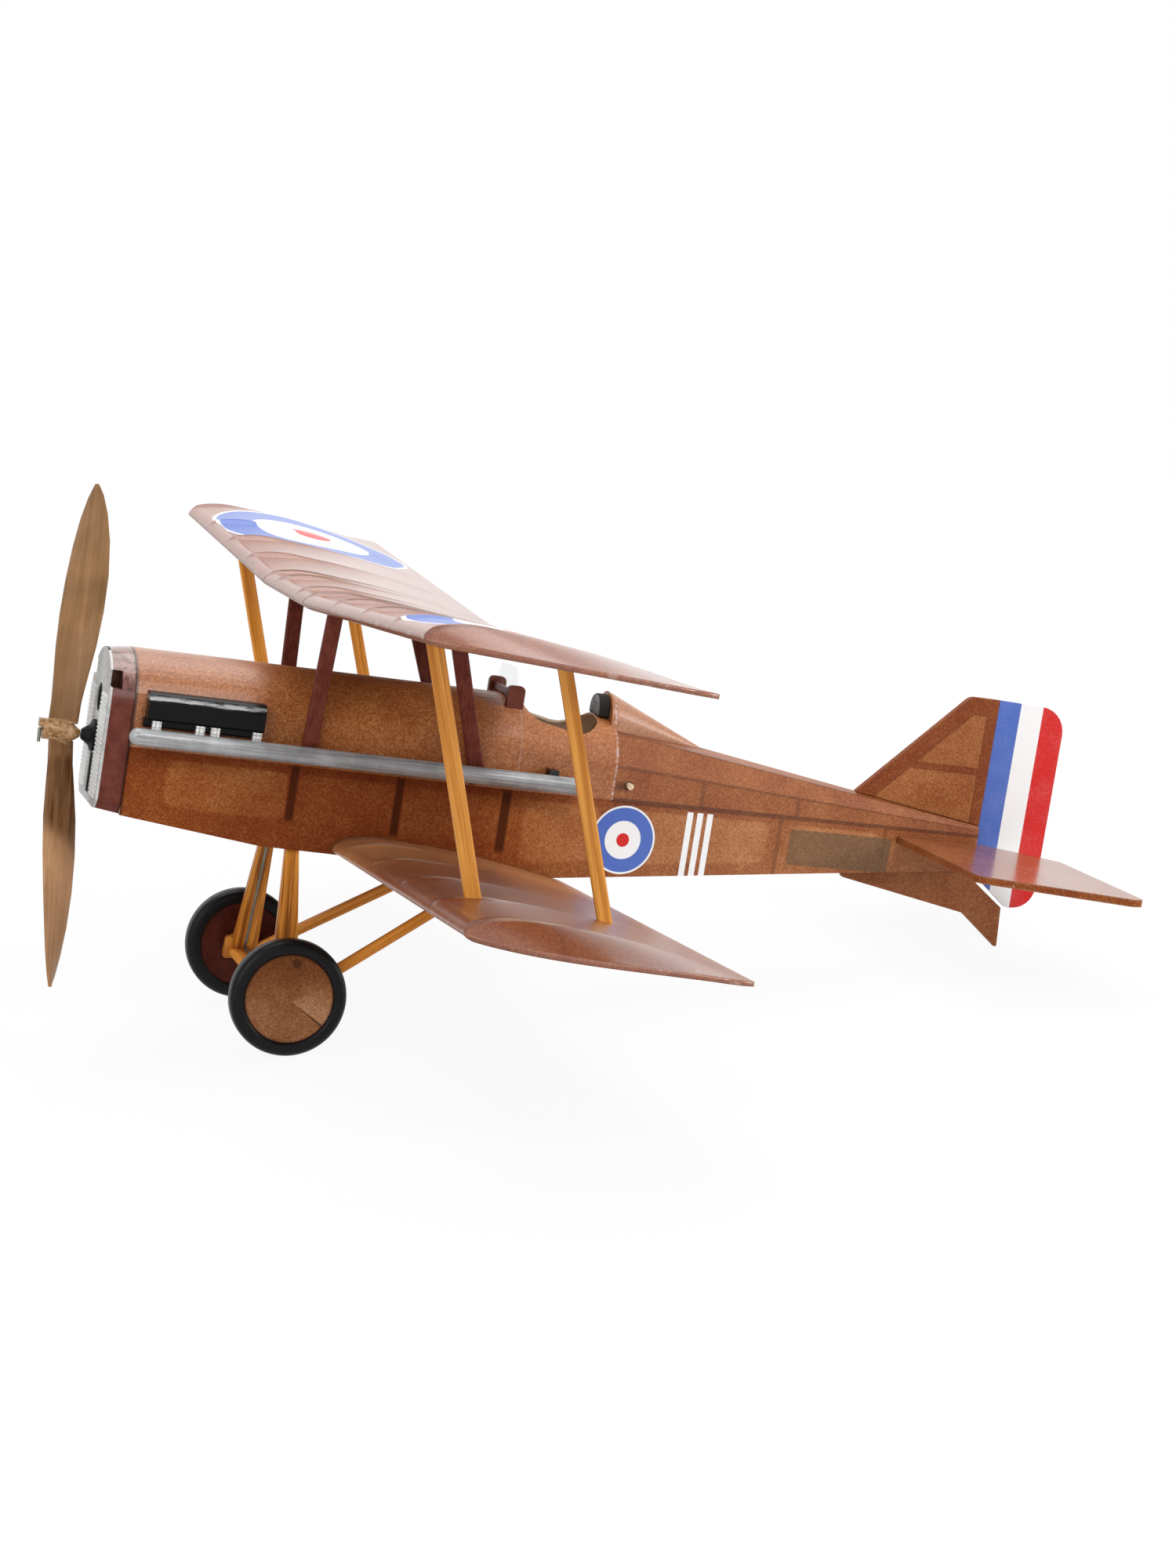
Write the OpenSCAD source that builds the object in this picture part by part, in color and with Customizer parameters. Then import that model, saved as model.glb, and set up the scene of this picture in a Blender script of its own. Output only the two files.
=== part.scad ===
// Rubber-powered flying scale biplane of sticks, card and tissue, standing on its wheels and tail skid.
// Pieces are drawn in aircraft axes: x forward from the radiator face, y to port, z up from the
// thrust line. craft() stands the whole model on the ground in its three-point attitude.

/* [Fuselage] */
// Outside width of the parallel front fuselage
body_w = 38.4; // [37:0.2:40]
// Height of the upper longeron's top edge
longeron_z = 0.5; // [0:0.1:1]
// Height where the deck's side turns into its arch
deck_spring = 12.5; // [11:0.5:14]
// Height of the deck's crown
deck_top = 27.5; // [26.5:0.5:28.5]
// Depth of the belly at the nose seam
nose_belly = 20; // [19:0.5:21]
// Depth of the belly under the cockpit
belly_depth = 25.6; // [25:0.2:26.4]
// Depth of the belly at the tail post
tail_belly = 11.3; // [10.8:0.1:12]
// Seam between the nose block and the fuselage
seam_x = -7.4; // [-8:0.2:-7]
// Joint between the front deck and the cockpit coaming, where the sides start to taper
cockpit_x = -125.8; // [-128:0.2:-124]
// Rear edge of the coaming
rear_x = -158.4; // [-160:0.2:-157]
// Tail post, where the rudder is hinged
tail_x = -288.3; // [-290:0.1:-286]
// Thickness of the balsa sheet parts
sheet = 1.6; // [1.4:0.1:2]
// Thickness of the doped tissue skins
tissue = 0.35; // [0.3:0.05:0.4]
// Thickness of the rolled card deck
card = 0.5; // [0.4:0.1:0.6]

/* [Wings] */
// Span of the upper wing
span = 380; // [376:1:384]
// Chord of both wings
chord = 73; // [72:0.5:74]
// Height of the rib section
section_h = 6.2; // [5.8:0.1:6.6]
// Leading edge of the upper wing
upper_le_x = -50; // [-51.5:0.5:-48.5]
// Height of the upper wing's leading edge at the centre section
upper_z = 48.2; // [47.2:0.2:49.2]
// Width of the flat centre section
centre_w = 59.2; // [58:0.4:60.4]
// Dihedral of the upper outer panels, degrees
upper_dihedral = 3.3; // [2.8:0.1:3.8]
// How far the lower wing sits behind the upper one
stagger = 21.9; // [21:0.1:23]
// Height of the lower wing's leading edge at its root
lower_z = -24.7; // [-25.1:0.1:-24.3]
// Dihedral of the lower panels, degrees
lower_dihedral = 2.9; // [2.4:0.1:3.4]
// Incidence of the upper wing, degrees
upper_incidence = 3; // [2:0.5:4]
// Incidence of the lower wing, degrees
lower_incidence = 1.9; // [1.5:0.1:2.5]
// Distance between neighbouring ribs
rib_pitch = 35; // [34.6:0.1:35.4]
// Thickness of a rib
rib_t = 1.2; // [1:0.1:1.6]

/* [Tail] */
// Height of the fin and rudder
fin_top = 44.7; // [43:0.5:46]
// Depth of the rudder behind the tail post
rudder_chord = 24; // [22:0.5:26]
// Span of the tailplane
tailplane_span = 165; // [161:1:168]
// Height of the tailplane's middle plane
tailplane_z = -3.5; // [-4:0.1:-3]
// Depth of the tail skid's shoe below the thrust line
skid_depth = 35.4; // [34:0.2:37]

/* [Undercarriage] */
// Diameter of a wheel over the tyre
wheel_d = 35; // [34:0.5:36]
// Distance between the wheels' middle planes
wheel_track = 74; // [73:0.5:76]
// Axle position along the thrust line
axle_x = -61; // [-62:0.5:-60]
// Axle depth below the thrust line
axle_depth = 65.6; // [64:0.2:67]
// Diameter of the axle wire
axle_d = 1.2; // [1:0.1:1.4]
// Width of a tyre
tyre_w = 7; // [6.4:0.2:7.4]

/* [Propeller] */
// Diameter of the propeller
propeller_d = 151; // [148:1:152]
// Widest chord of a blade
blade_w = 17; // [15:0.5:19]
// Advance of the blade in one turn
blade_pitch = 250; // [220:5:280]
// Middle of the hub ahead of the radiator face
hub_x = 9.6; // [9:0.1:10.4]
// Turn of the propeller at rest, degrees
rest_turn = 16; // [0:1:20]
// Diameter of the shaft wire
shaft_d = 1; // [0.9:0.1:1.2]

/* [Hidden] */
$fn = 48;
running_gap = 0.05;
hw = body_w / 2;
tail_hw = 2.1;
taper = atan((hw - tail_hw) / (cockpit_x - tail_x));
wheel_r = wheel_d / 2;
half_span = span / 2;
lower_le_x = upper_le_x - stagger;
tip_rib = 4 * rib_pitch;
strut_rib = 3 * rib_pitch;
upper_root = centre_w / 2;
lower_shift = upper_root - hw;
nose_h = 1.3;
te_h = 0.9;
le_strip = 3;
te_strip = 6.5;
spar_c = 24;
spar_w = 2;
peg_x = -163.2;
peg_z = 5.2;
peg_r = 1;
peg_l = 2 * (hw - (cockpit_x - peg_x) * tan(taper) + 1.5);
hook_x = -17.5;
hook_r = 2.5;
hook_gap = 0.75;
pipe_r = 2.6;
pipe_y = hw + 5;
pipe_z = 4.4;
skid_tip_x = -301.8;
middle_x = -145;
big = 900;
// Belly line: nose seam, chin, behind the wing and tail post
belly_line = [[tail_x, -tail_belly], [-141, -belly_depth], [-50, 0.8 - belly_depth], [seam_x, -nose_belly]];
// The ground touches the tyres and the skid's shoe, which fixes the standing attitude
skid_arm = norm([axle_x - skid_tip_x, skid_depth - axle_depth]);
attitude = asin(wheel_r / skid_arm) - atan2(skid_depth - axle_depth, axle_x - skid_tip_x);
lift = wheel_r + axle_depth * cos(attitude) - axle_x * sin(attitude);

// Placing and shaping helpers

module craft() {
  translate([-middle_x, 0, lift]) rotate([0, -attitude, 0]) children();
}

module starboard() {
  mirror([0, 1, 0]) children();
}

module both() {
  children();
  starboard() children();
}

// Extrudes an outline drawn in y and z from x0 forward to x1
module along_x(x0, x1) {
  translate([x0, 0, 0]) rotate([90, 0, 90]) linear_extrude(x1 - x0) children();
}

// Extrudes an outline drawn in x and z from y0 to y1
module along_y(y0, y1) {
  translate([0, y1, 0]) rotate([90, 0, 0]) linear_extrude(y1 - y0) children();
}

// Extrudes a section, drawn fore and aft along its first axis, from p to q
module stick(p, q) {
  w = (q - p) / norm(q - p);
  fore = [1, 0, 0] - w[0] * w;
  u = fore / norm(fore);
  v = cross(w, u);
  multmatrix([[u[0], v[0], w[0], p[0]], [u[1], v[1], w[1], p[1]], [u[2], v[2], w[2], p[2]]])
    linear_extrude(norm(q - p)) children();
}

// Skins rings of equal point counts into one solid. A curved end is closed by strips across the ring,
// which then starts at its tail and has its nose half way round
module loft(rings, curved_end = false) {
  n = len(rings[0]);
  m = len(rings);
  last = (m - 1) * n;
  nose = (n - 1) / 2;
  end_strips = concat([[last + nose, last + nose - 1, last + nose + 1]],
    [for (i = [0 : nose - 2])
      each [[last + i + 1, last + i, last + n - 1 - i], [last + i + 1, last + n - 1 - i, last + n - 2 - i]]]);
  sides = [for (k = [0 : m - 2], i = [0 : n - 1])
    each [[k * n + i, (k + 1) * n + (i + 1) % n, k * n + (i + 1) % n],
          [k * n + i, (k + 1) * n + i, (k + 1) * n + (i + 1) % n]]];
  polyhedron([for (r = rings) each r],
    concat([[for (i = [0 : n - 1]) i]], sides,
           curved_end ? end_strips : [[for (i = [n - 1 : -1 : 0]) last + i]]));
}

// One rounded corner at b, between its neighbours a and c
function corner(a, b, c, r, steps) =
  let (u = (a - b) / norm(a - b), v = (c - b) / norm(c - b), half = acos(u * v) / 2,
       mid = b + (u + v) / norm(u + v) * r / sin(half), p = b + u * r / tan(half) - mid,
       q = b + v * r / tan(half) - mid, turn = 180 - 2 * half)
  [for (i = [0 : steps]) mid + (p * sin(turn * (1 - i / steps)) + q * sin(turn * i / steps)) / sin(turn)];

// Outline with rounded corners, where a radius of 0 keeps the corner sharp
function rounded(pts, radii, steps = 5) =
  let (n = len(pts))
  [for (i = [0 : n - 1])
    let (r = is_list(radii) ? radii[i] : radii)
    each r > 0 ? corner(pts[(i + n - 1) % n], pts[i], pts[(i + 1) % n], r, steps) : [pts[i]]];

function box2(x0, x1, z0, z1) = [[x0, z0], [x1, z0], [x1, z1], [x0, z1]];
function belly(x) = lookup(x, belly_line);
function half(x) = x > cockpit_x ? hw : hw - (cockpit_x - x) * tan(taper);
function between(x, x0, v0, x1, v1) = v0 + (v1 - v0) * (x - x0) / (x1 - x0);

// Outline of a deck section: straight sides, then an elliptical arch
function arch(w, base, spring, top, steps = 24) =
  concat([[w, base]],
    [for (i = [0 : steps]) [w * cos(180 * i / steps), spring + (top - spring) * sin(180 * i / steps)]],
    [[-w, base]]);

// Outline of the turtledeck at x, inset by d: longerons, middle stringers, top stringers and ridge
function turtle(x, d) =
  let (w = half(x) - d,
       mid = between(x, rear_x, 11, tail_x, 2.3) - d / 3,
       top = between(x, rear_x, 20.6, tail_x, 3.2) - d,
       ridge = between(x, rear_x, 22.4, tail_x, 3.5) - d)
  [[w, longeron_z], [0.93 * w, mid], [0.55 * w, top], [0, ridge], [-0.55 * w, top], [-0.93 * w, mid],
   [-w, longeron_z]];

function at_x(x, pts) = [for (p = pts) [x, p[0], p[1]]];
function reversed(pts) = [for (i = [len(pts) - 1 : -1 : 0]) pts[i]];

// Fuselage

// Filled outside form of the box fuselage, used to seat what is glued to it
module fuselage_block() {
  intersection() {
    fuselage_plan();
    along_y(-hw, hw) polygon(concat(belly_line, [[seam_x, longeron_z], [tail_x, longeron_z]]));
  }
}

// Everything straight above and below the fuselage
module fuselage_plan() {
  linear_extrude(big, center = true)
    polygon(concat([[0, hw]], inner_plan(0), [[0, -hw]]));
}

// Filled outside form of the deck, coaming and turtledeck
module deck_block() {
  along_x(cockpit_x, seam_x) polygon(arch(hw, longeron_z, deck_spring, deck_top));
  loft([at_x(rear_x, coaming_rear(0)), at_x(cockpit_x, arch(hw, longeron_z, deck_spring, deck_top))]);
  loft([at_x(tail_x, turtle(tail_x, 0)), at_x(rear_x, turtle(rear_x, 0))]);
}

function coaming_rear(d) = arch(half(rear_x) - d, longeron_z, 9, 24 - d);

// Plan line of the port side, inset by d
function side_plan(d) = [[seam_x, hw - d], [cockpit_x, hw - d], [tail_x, tail_hw - d / cos(taper)]];

// Upright layer of the port side between the insets d0 and d1, following the taper
module side_layer(d0, d1) {
  linear_extrude(big, center = true) polygon(concat(side_plan(d0), reversed(side_plan(d1))));
}

// Each opening: rear end, front end and height of its sill above the belly
side_windows = [[-56, -17, 9], [-88.5, -59.2, 9], [-122, -91.7, 9], [-155, -130, 5], [-213, -162, 4],
                [-252, -221, 4]];

// Side outline from the belly, raised by low, to the longeron, slotted for the tailplane
module side_outline(low, windows) {
  along_y(0, big) difference() {
    polygon(concat([for (p = belly_line) [p[0], p[1] + low]], [[seam_x, longeron_z], [tail_x, longeron_z]]));
    polygon(box2(tail_x - 5, tailplane_le + 0.2, tailplane_z - 1.2, tailplane_z + 1.2));
    for (w = windows)
      polygon(rounded([[w[0], belly(w[0]) + w[2]], [w[1], belly(w[1]) + w[2]], [w[1], longeron_z - 2.6],
                       [w[0], longeron_z - 2.6]], 3));
  }
}

// Bore through both sides for the rubber motor's peg
module peg_bore(r) {
  translate([peg_x, 0, peg_z]) rotate([90, 0, 0]) cylinder(h = big, r = r, center = true);
}

// Balsa side with its openings, and the plate glued inside that carries the peg above the longeron
module side_frame() {
  inner = tissue + sheet;
  intersection() {
    side_layer(tissue, inner);
    side_outline(tissue, side_windows);
  }
  difference() {
    intersection() {
      side_layer(inner, inner + sheet);
      along_y(0, big) polygon(rounded(box2(peg_x - 5, peg_x + 4.4, -6, peg_z + 4), 1.5));
    }
    peg_bore(peg_r + running_gap);
  }
}

module port_side_frame() {
  color("burlywood") side_frame();
}

module starboard_side_frame() {
  color("burlywood") starboard() side_frame();
}

module side_tissue() {
  intersection() {
    side_layer(0, tissue);
    side_outline(0, []);
  }
}

module port_side_tissue() {
  color("sienna") side_tissue();
}

module starboard_side_tissue() {
  color("sienna") starboard() side_tissue();
}

module belly_tissue() {
  color("sienna") intersection() {
    along_y(-hw, hw)
      polygon(concat(belly_line, reversed([for (p = belly_line) [p[0], p[1] + tissue]])));
    linear_extrude(big, center = true) polygon(inner_plan(tissue));
  }
}

function inner_plan(d) = concat(side_plan(d), reversed([for (p = side_plan(d)) [p[0], -p[1]]]));

// Outline of a former: box part between the side frames, with an arched or pointed upper part
function former_line(x, upper) =
  let (w = half(x) - (tissue + sheet) / cos(taper), foot = max(belly(x), belly(x + former_t)) + tissue)
  concat([[-w, foot], [w, foot], [w, longeron_z]], upper, [[-w, longeron_z]]);

function tunnel(w, z0, z1) = rounded(box2(-w, w, z0, z1), min(3, 0.8 * w));

plug_w = 11;
plug_h = 12;
former_t = 1.5;

module former(x, upper, hole) {
  along_x(x, x + former_t) difference() {
    polygon(former_line(x, upper));
    polygon(hole);
  }
}

module formers() {
  upper = arch(hw - card, longeron_z, deck_spring, deck_top - card);
  seat = 0.15;
  color("burlywood") {
    former(seam_x - former_t, upper, box2(-plug_w - seat, plug_w + seat, -plug_h - seat, plug_h + seat));
    for (x = [-58.3, -90.9, cockpit_x]) former(x, upper, tunnel(12, -14, 15));
    difference() {
      union() {
        former(rear_x, coaming_rear(card), tunnel(9, -14, 13));
        for (x = [-200, -244])
          former(x, turtle(x, tissue), tunnel(half(x) - 5, belly(x) + 5, between(x, -200, 9, -244, 4.5)));
      }
      stringer_sticks();
    }
  }
}

// Stringers of the turtledeck, let into the formers
module stringer_sticks() {
  both() for (k = [1, 2]) {
    inset = tissue + 1.1;
    a = turtle(rear_x, inset)[k];
    b = turtle(-262, inset)[k];
    stick([-262, b[0], b[1]], [rear_x, a[0], a[1]]) square([1.4, 1.4], center = true);
  }
}

module rear_stringers() {
  color("burlywood") stringer_sticks();
}

module turtledeck_tissue() {
  color("sienna") difference() {
    loft([at_x(tail_x, turtle(tail_x, 0)), at_x(rear_x, turtle(rear_x, 0))]);
    loft([at_x(tail_x - 1, turtle(tail_x, tissue)), at_x(tail_x, turtle(tail_x, tissue)),
          at_x(rear_x, turtle(rear_x, tissue)), at_x(rear_x + 1, turtle(rear_x, tissue))]);
    translate([-big / 2, -big / 2, longeron_z - big]) cube(big);
    peg_bore(peg_r + 0.4);
  }
}

module front_deck() {
  color("peru") along_x(cockpit_x, seam_x) difference() {
    polygon(arch(hw, longeron_z, deck_spring, deck_top));
    polygon(arch(hw - card, longeron_z - 1, deck_spring, deck_top - card));
  }
}

opening = rounded(box2(-152.6, cockpit_x - 1.6, -14, 14), [9, 6, 6, 9]);

module cockpit_coaming() {
  outer = arch(hw, longeron_z, deck_spring, deck_top);
  inner = arch(hw - card, longeron_z - 1, deck_spring, deck_top - card);
  rear = concat([[half(rear_x) - card, longeron_z - 1]], [for (p = coaming_rear(card)) if (p[1] > 8.9) p],
                [[card - half(rear_x), longeron_z - 1]]);
  color("peru") difference() {
    loft([at_x(rear_x, coaming_rear(0)), at_x(cockpit_x, outer)]);
    loft([at_x(rear_x - 1, rear), at_x(rear_x, rear), at_x(cockpit_x, inner), at_x(cockpit_x + 1, inner)]);
    linear_extrude(big) polygon(opening);
  }
}

headrest_x = -156.6;

module headrest_pad() {
  color("dimgray") difference() {
    along_x(headrest_x, headrest_x + 3.2) polygon(arch(5.4, 15, 25.6, 31));
    deck_block();
  }
}

module headrest_fairing() {
  nose = arch(8.2, 12, 23.4, 32, 20);
  tail = arch(0.7, 10, 17, 17.7, 20);
  color("peru") difference() {
    loft([at_x(-190, tail), at_x(headrest_x, nose)]);
    deck_block();
  }
}

screen_x = -123.2;
screen_y = 10.8;

module windscreen_brackets() {
  color("saddlebrown") difference() {
    union() {
      both() along_y(screen_y - 0.8, screen_y + 1)
        polygon(rounded([[screen_x - 3.4, 20], [screen_x + 2, 20], [screen_x + 2, 31.3],
                         [screen_x - 3.4, 31.3]], [0, 0, 1.6, 1.6]));
      along_y(-screen_y, screen_y) polygon(box2(screen_x - 0.6, screen_x + 0.8, 27.8, 29.6));
    }
    deck_block();
  }
}

module windscreen() {
  color([0.85, 0.9, 0.92, 0.4]) along_x(screen_x - 1.2, screen_x - 0.6)
    polygon(rounded(box2(0.8 - screen_y, screen_y - 0.8, 28, 36.3), [0, 0, 4, 4]));
}

// Exhausts

module manifold() {
  difference() {
    union() {
      along_x(-45.6, -10.8) polygon(rounded(box2(hw - 4, hw + 4.6, 9.4, 17.6), [0, 1, 3, 0]));
      along_x(-44.6, -10.2) polygon(rounded(box2(hw - 2, hw + 2.6, 7.2, 9.6), [0, 0.6, 0, 0]));
    }
    deck_block();
  }
}

module port_manifold() {
  color("black") manifold();
}

module starboard_manifold() {
  color("black") starboard() manifold();
}

module exhaust_stubs() {
  color("lightgray") difference() {
    both() for (x = [-13.8, -26.7, -31.2, -43.7])
      translate([x - 1.3, hw + 2.7, pipe_z]) cube([2.6, 1.9, 9.4 - pipe_z]);
    both() pipe_form();
  }
}

module pipe_form() {
  translate([-145.5, pipe_y, pipe_z]) rotate([0, 90, 0]) cylinder(h = 136.8, r = pipe_r);
  translate([-8.7, pipe_y, pipe_z]) sphere(r = pipe_r);
}

// Long tailpipe, closed and round in front, drilled out behind
module exhaust_pipe() {
  difference() {
    pipe_form();
    translate([-146, pipe_y, pipe_z]) rotate([0, 90, 0]) cylinder(h = 12, r = pipe_r - 0.7);
  }
}

module port_exhaust_pipe() {
  color("silver") exhaust_pipe();
}

module starboard_exhaust_pipe() {
  color("silver") starboard() exhaust_pipe();
}

bracket_x = -136.3;

module pipe_brackets() {
  color("black") difference() {
    both() translate([bracket_x - 1.4, half(bracket_x) - 2, pipe_z - 1]) cube([2.8, 7, 5]);
    both() pipe_form();
    deck_block();
    fuselage_block();
  }
}

// Wings

// Half thickness of a classic section, scaled to 1 at its highest point
function bulge(u) =
  10 * (0.2969 * sqrt(u) - 0.126 * u - 0.3516 * pow(u, 2) + 0.2843 * pow(u, 3) - 0.1036 * pow(u, 4));
function top_z(u) = nose_h * (1 - u) + te_h * u + (section_h - 0.8 * nose_h) * bulge(u);
function bottom_z(u) = nose_h * (1 - sqrt(min(1, u / 0.06)));
top_u = [1, 0.86, 0.72, 0.58, 0.45, 0.33, 0.22, 0.13, 0.065, 0.025, 0.006];
bottom_u = [0, 0.008, 0.025, 0.06, 0.5, 1];
// Outline of the bare rib section, nose at 0 and trailing edge aft
rib_line = concat([for (u = top_u) [-u * (chord - 2 * tissue) - tissue, top_z(u)]],
                  [for (u = bottom_u) [-u * (chord - 2 * tissue) - tissue, bottom_z(u)]]);

// Moves each point of an outline outward by d along the normal there
function grown(pts, d) =
  let (n = len(pts))
  [for (i = [0 : n - 1])
    let (a = pts[(i + n - 1) % n], c = pts[(i + 1) % n], u = (pts[i] - a) / norm(pts[i] - a),
         v = (c - pts[i]) / norm(c - pts[i]), m = [-u[1] - v[1], u[0] + v[0]])
    pts[i] + m * d * 2 / (m * m)];

skin_line = grown(rib_line, tissue);

module upper_panel() {
  translate([upper_le_x, upper_root, upper_z]) rotate([upper_dihedral, 0, 0])
    rotate([0, -upper_incidence, 0]) children();
}

module upper_centre() {
  translate([upper_le_x, 0, upper_z]) rotate([0, -upper_incidence, 0]) children();
}

module lower_panel() {
  translate([lower_le_x, hw, lower_z]) rotate([lower_dihedral, 0, 0])
    rotate([0, -lower_incidence, 0]) children();
}

// Keeps what lies outboard of y, so that two panels meet on one plane
module outboard(y) {
  intersection() {
    children();
    translate([-big / 2, y, -big / 2]) cube(big);
  }
}

module section_strip(y0, y1, c0, c1) {
  along_y(y0, y1) intersection() {
    polygon(rib_line);
    polygon(box2(-c1, -c0, -1, section_h + 2));
  }
}

// One rib between the edge strips, notched below for the spar
module rib(y) {
  difference() {
    section_strip(y - rib_t / 2, y + rib_t / 2, le_strip, chord - te_strip);
    along_y(y - rib_t, y + rib_t) polygon(box2(-spar_c - spar_w, -spar_c, -1, spar_w));
  }
}

module strips(y0, y1) {
  section_strip(y0, y1, 0, le_strip);
  section_strip(y0, y1, chord - te_strip, chord);
  along_y(y0, y1) polygon(box2(-spar_c - spar_w, -spar_c, 0, spar_w));
}

module skin(y0, y1) {
  along_y(y0, y1) difference() {
    polygon(skin_line);
    polygon(rib_line);
  }
}

module wing_fill(y0, y1) {
  along_y(y0, y1) polygon(skin_line);
}

// Raked tip: every chord line runs out to the swept edge and thins on its way there
tip_edge_c = 68.5;
tip_edge_h = 1.4;
tip_u = [1, 0.94, 0.86, 0.72, 0.58, 0.45, 0.33, 0.22, 0.13, 0.065, 0.025, 0.006, 0];
// Each station: distance behind the nose, then the height there, round the section from the tail
tip_line = concat([for (u = tip_u) [u * chord, top_z(u) + tissue]],
                  [for (i = [len(tip_u) - 2 : -1 : 0]) [tip_u[i] * chord, bottom_z(tip_u[i]) - tissue]]);
function tip_reach(c) = min(1, 0.03 + pow(c / tip_edge_c, 0.74));
// Share of the droop of the edge at a distance behind the nose: full near a third of the chord
function tip_droop(c) = pow(sin(180 * pow(min(1, c / 64), 0.65)), 1.2);
function tip_ring(inner, length, w, droop) =
  [for (p = tip_line)
    [-p[0], inner + length * tip_reach(p[0]) * w,
     p[1] + (max(0, min(tip_edge_h, p[1])) - p[1] - droop * tip_droop(p[0])) * pow(w, 1.4)]];

module tip_block(inner, outer, droop = 0) {
  loft([for (w = [0 : 0.2 : 1]) tip_ring(inner, outer - inner, w, droop)], true);
}

upper_tip_s = (half_span - upper_root) / cos(upper_dihedral);
lower_tip_s = (half_span - hw) / cos(lower_dihedral);
tip_start = tip_rib + rib_t / 2;
lower_ribs = [14.5, lower_shift + rib_pitch, lower_shift + 2 * rib_pitch, lower_shift + strut_rib,
              lower_shift + tip_rib];

module upper_wing_ribs() {
  color("burlywood") {
    both() upper_panel() for (k = [1 : 4]) rib(k * rib_pitch);
    both() upper_centre() for (y = [0.52 * upper_root, upper_root - rib_t]) rib(y);
  }
}

module upper_wing_spars() {
  color("burlywood") {
    both() outboard(upper_root) upper_panel() strips(-1, tip_start);
    upper_centre() strips(-upper_root, upper_root);
  }
}

module upper_wing_tips() {
  color("sienna") both() upper_panel() tip_block(tip_start, upper_tip_s);
}

module upper_centre_tissue() {
  color("rosybrown") upper_centre() skin(-upper_root, upper_root);
}

module port_upper_tissue() {
  color("rosybrown") outboard(upper_root) upper_panel() skin(-1, tip_start);
}

module starboard_upper_tissue() {
  color("rosybrown") starboard() outboard(upper_root) upper_panel() skin(-1, tip_start);
}

module lower_wing_ribs() {
  color("burlywood") both() lower_panel() for (s = lower_ribs) rib(s);
}

module lower_wing_spars() {
  color("burlywood") difference() {
    both() lower_panel() strips(-4, lower_shift + tip_start);
    fuselage_plan();
  }
}

module lower_wing_tips() {
  color("sienna") both() lower_panel() tip_block(lower_shift + tip_start, lower_tip_s, 1.3);
}

module lower_skin() {
  difference() {
    lower_panel() skin(-4, lower_shift + tip_start);
    fuselage_plan();
  }
}

module port_lower_tissue() {
  color("sienna") lower_skin();
}

module starboard_lower_tissue() {
  color("sienna") starboard() lower_skin();
}

module upper_wing_block() {
  upper_panel() wing_fill(-1, tip_start);
  upper_centre() wing_fill(-upper_root, upper_root);
}

module lower_wing_block() {
  lower_panel() wing_fill(-4, lower_shift + tip_start);
}

// Struts

module strut_section(w, t) {
  polygon(rounded(box2(-w / 2, w / 2, -t / 2, t / 2), 0.6, 3));
}

// Middle of the section at chordwise distance c behind the nose, at y on a panel
function wing_point(le_x, root_y, root_z, dihedral, incidence, y, c) =
  [le_x - c * cos(incidence), y,
   root_z + (y - root_y) * tan(dihedral) - c * sin(incidence) + section_h / 2];

strut_y = upper_root + strut_rib * cos(upper_dihedral);
// Each strut: distance behind the nose at its foot and at its head, and its width
strut_places = [[12.8, 11.8, 4.6], [50, 48, 4.1]];

module interplane_struts() {
  difference() {
    for (p = strut_places)
      stick(wing_point(lower_le_x, hw, lower_z, lower_dihedral, lower_incidence, strut_y, p[0]),
            wing_point(upper_le_x, upper_root, upper_z, upper_dihedral, upper_incidence, strut_y, p[1]))
        strut_section(p[2], 1.8);
    upper_wing_block();
    lower_wing_block();
  }
}

module port_interplane_struts() {
  color("goldenrod") interplane_struts();
}

module starboard_interplane_struts() {
  color("goldenrod") starboard() interplane_struts();
}

cabane_feet = [-60.3, -113.6];
cabane_heads = [10.8, 47.4];
cabane_head_y = upper_root - 1.6;
cabane_foot_z = 1.6;

module cabane_struts() {
  difference() {
    for (i = [0, 1])
      stick([cabane_feet[i], hw + 0.6, cabane_foot_z],
            wing_point(upper_le_x, upper_root, upper_z, 0, upper_incidence, cabane_head_y, cabane_heads[i]))
        strut_section(4.8, 1.8);
    deck_block();
    upper_wing_block();
  }
}

module port_cabane_struts() {
  color("maroon") cabane_struts();
}

module starboard_cabane_struts() {
  color("maroon") starboard() cabane_struts();
}

// Undercarriage

leg_top = [-60.4, 16.6, -24];
leg_foot = [axle_x, 32, -axle_depth - 3.4];
rear_top = [-126.8, 17.4, -24];
rear_foot = [axle_x - 4, 30.8, -axle_depth - 0.5];
leg_t = 2;
wire_r = 0.4;
glue_line = 0.03;

module undercarriage_legs() {
  difference() {
    union() {
      front_leg();
      difference() {
        stick(rear_top, rear_foot) strut_section(3.4, leg_t);
        front_leg(glue_line);
      }
    }
    fuselage_block();
    lower_wing_block();
    axle();
    leg_wire();
  }
}

// Tapered plank, narrow under the fuselage, with a toe ahead of the axle, larger all round by extra
module front_leg(extra = 0) {
  run = norm(leg_foot - leg_top);
  w = (leg_foot - leg_top) / run;
  fore = [1, 0, 0] - w[0] * w;
  u = fore / norm(fore);
  v = cross(w, u);
  multmatrix([[u[0], w[0], v[0], leg_top[0]], [u[1], w[1], v[1], leg_top[1]], [u[2], w[2], v[2], leg_top[2]]])
    mirror([0, 0, 1]) linear_extrude(leg_t + 2 * extra, center = true)
      polygon(rounded([[-2 - extra, 0], [2 + extra, 0], [4 + extra, run - 7.2 - extra],
                       [6.4 + extra, run - 6.4 - extra], [6.4 + extra, run + 0.6], [-4.2 - extra, run]],
                      [0, 0, 0, 0.8, 1.2, 1.4]));
}

module port_undercarriage_legs() {
  color("goldenrod") undercarriage_legs();
}

module starboard_undercarriage_legs() {
  color("goldenrod") starboard() undercarriage_legs();
}

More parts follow.
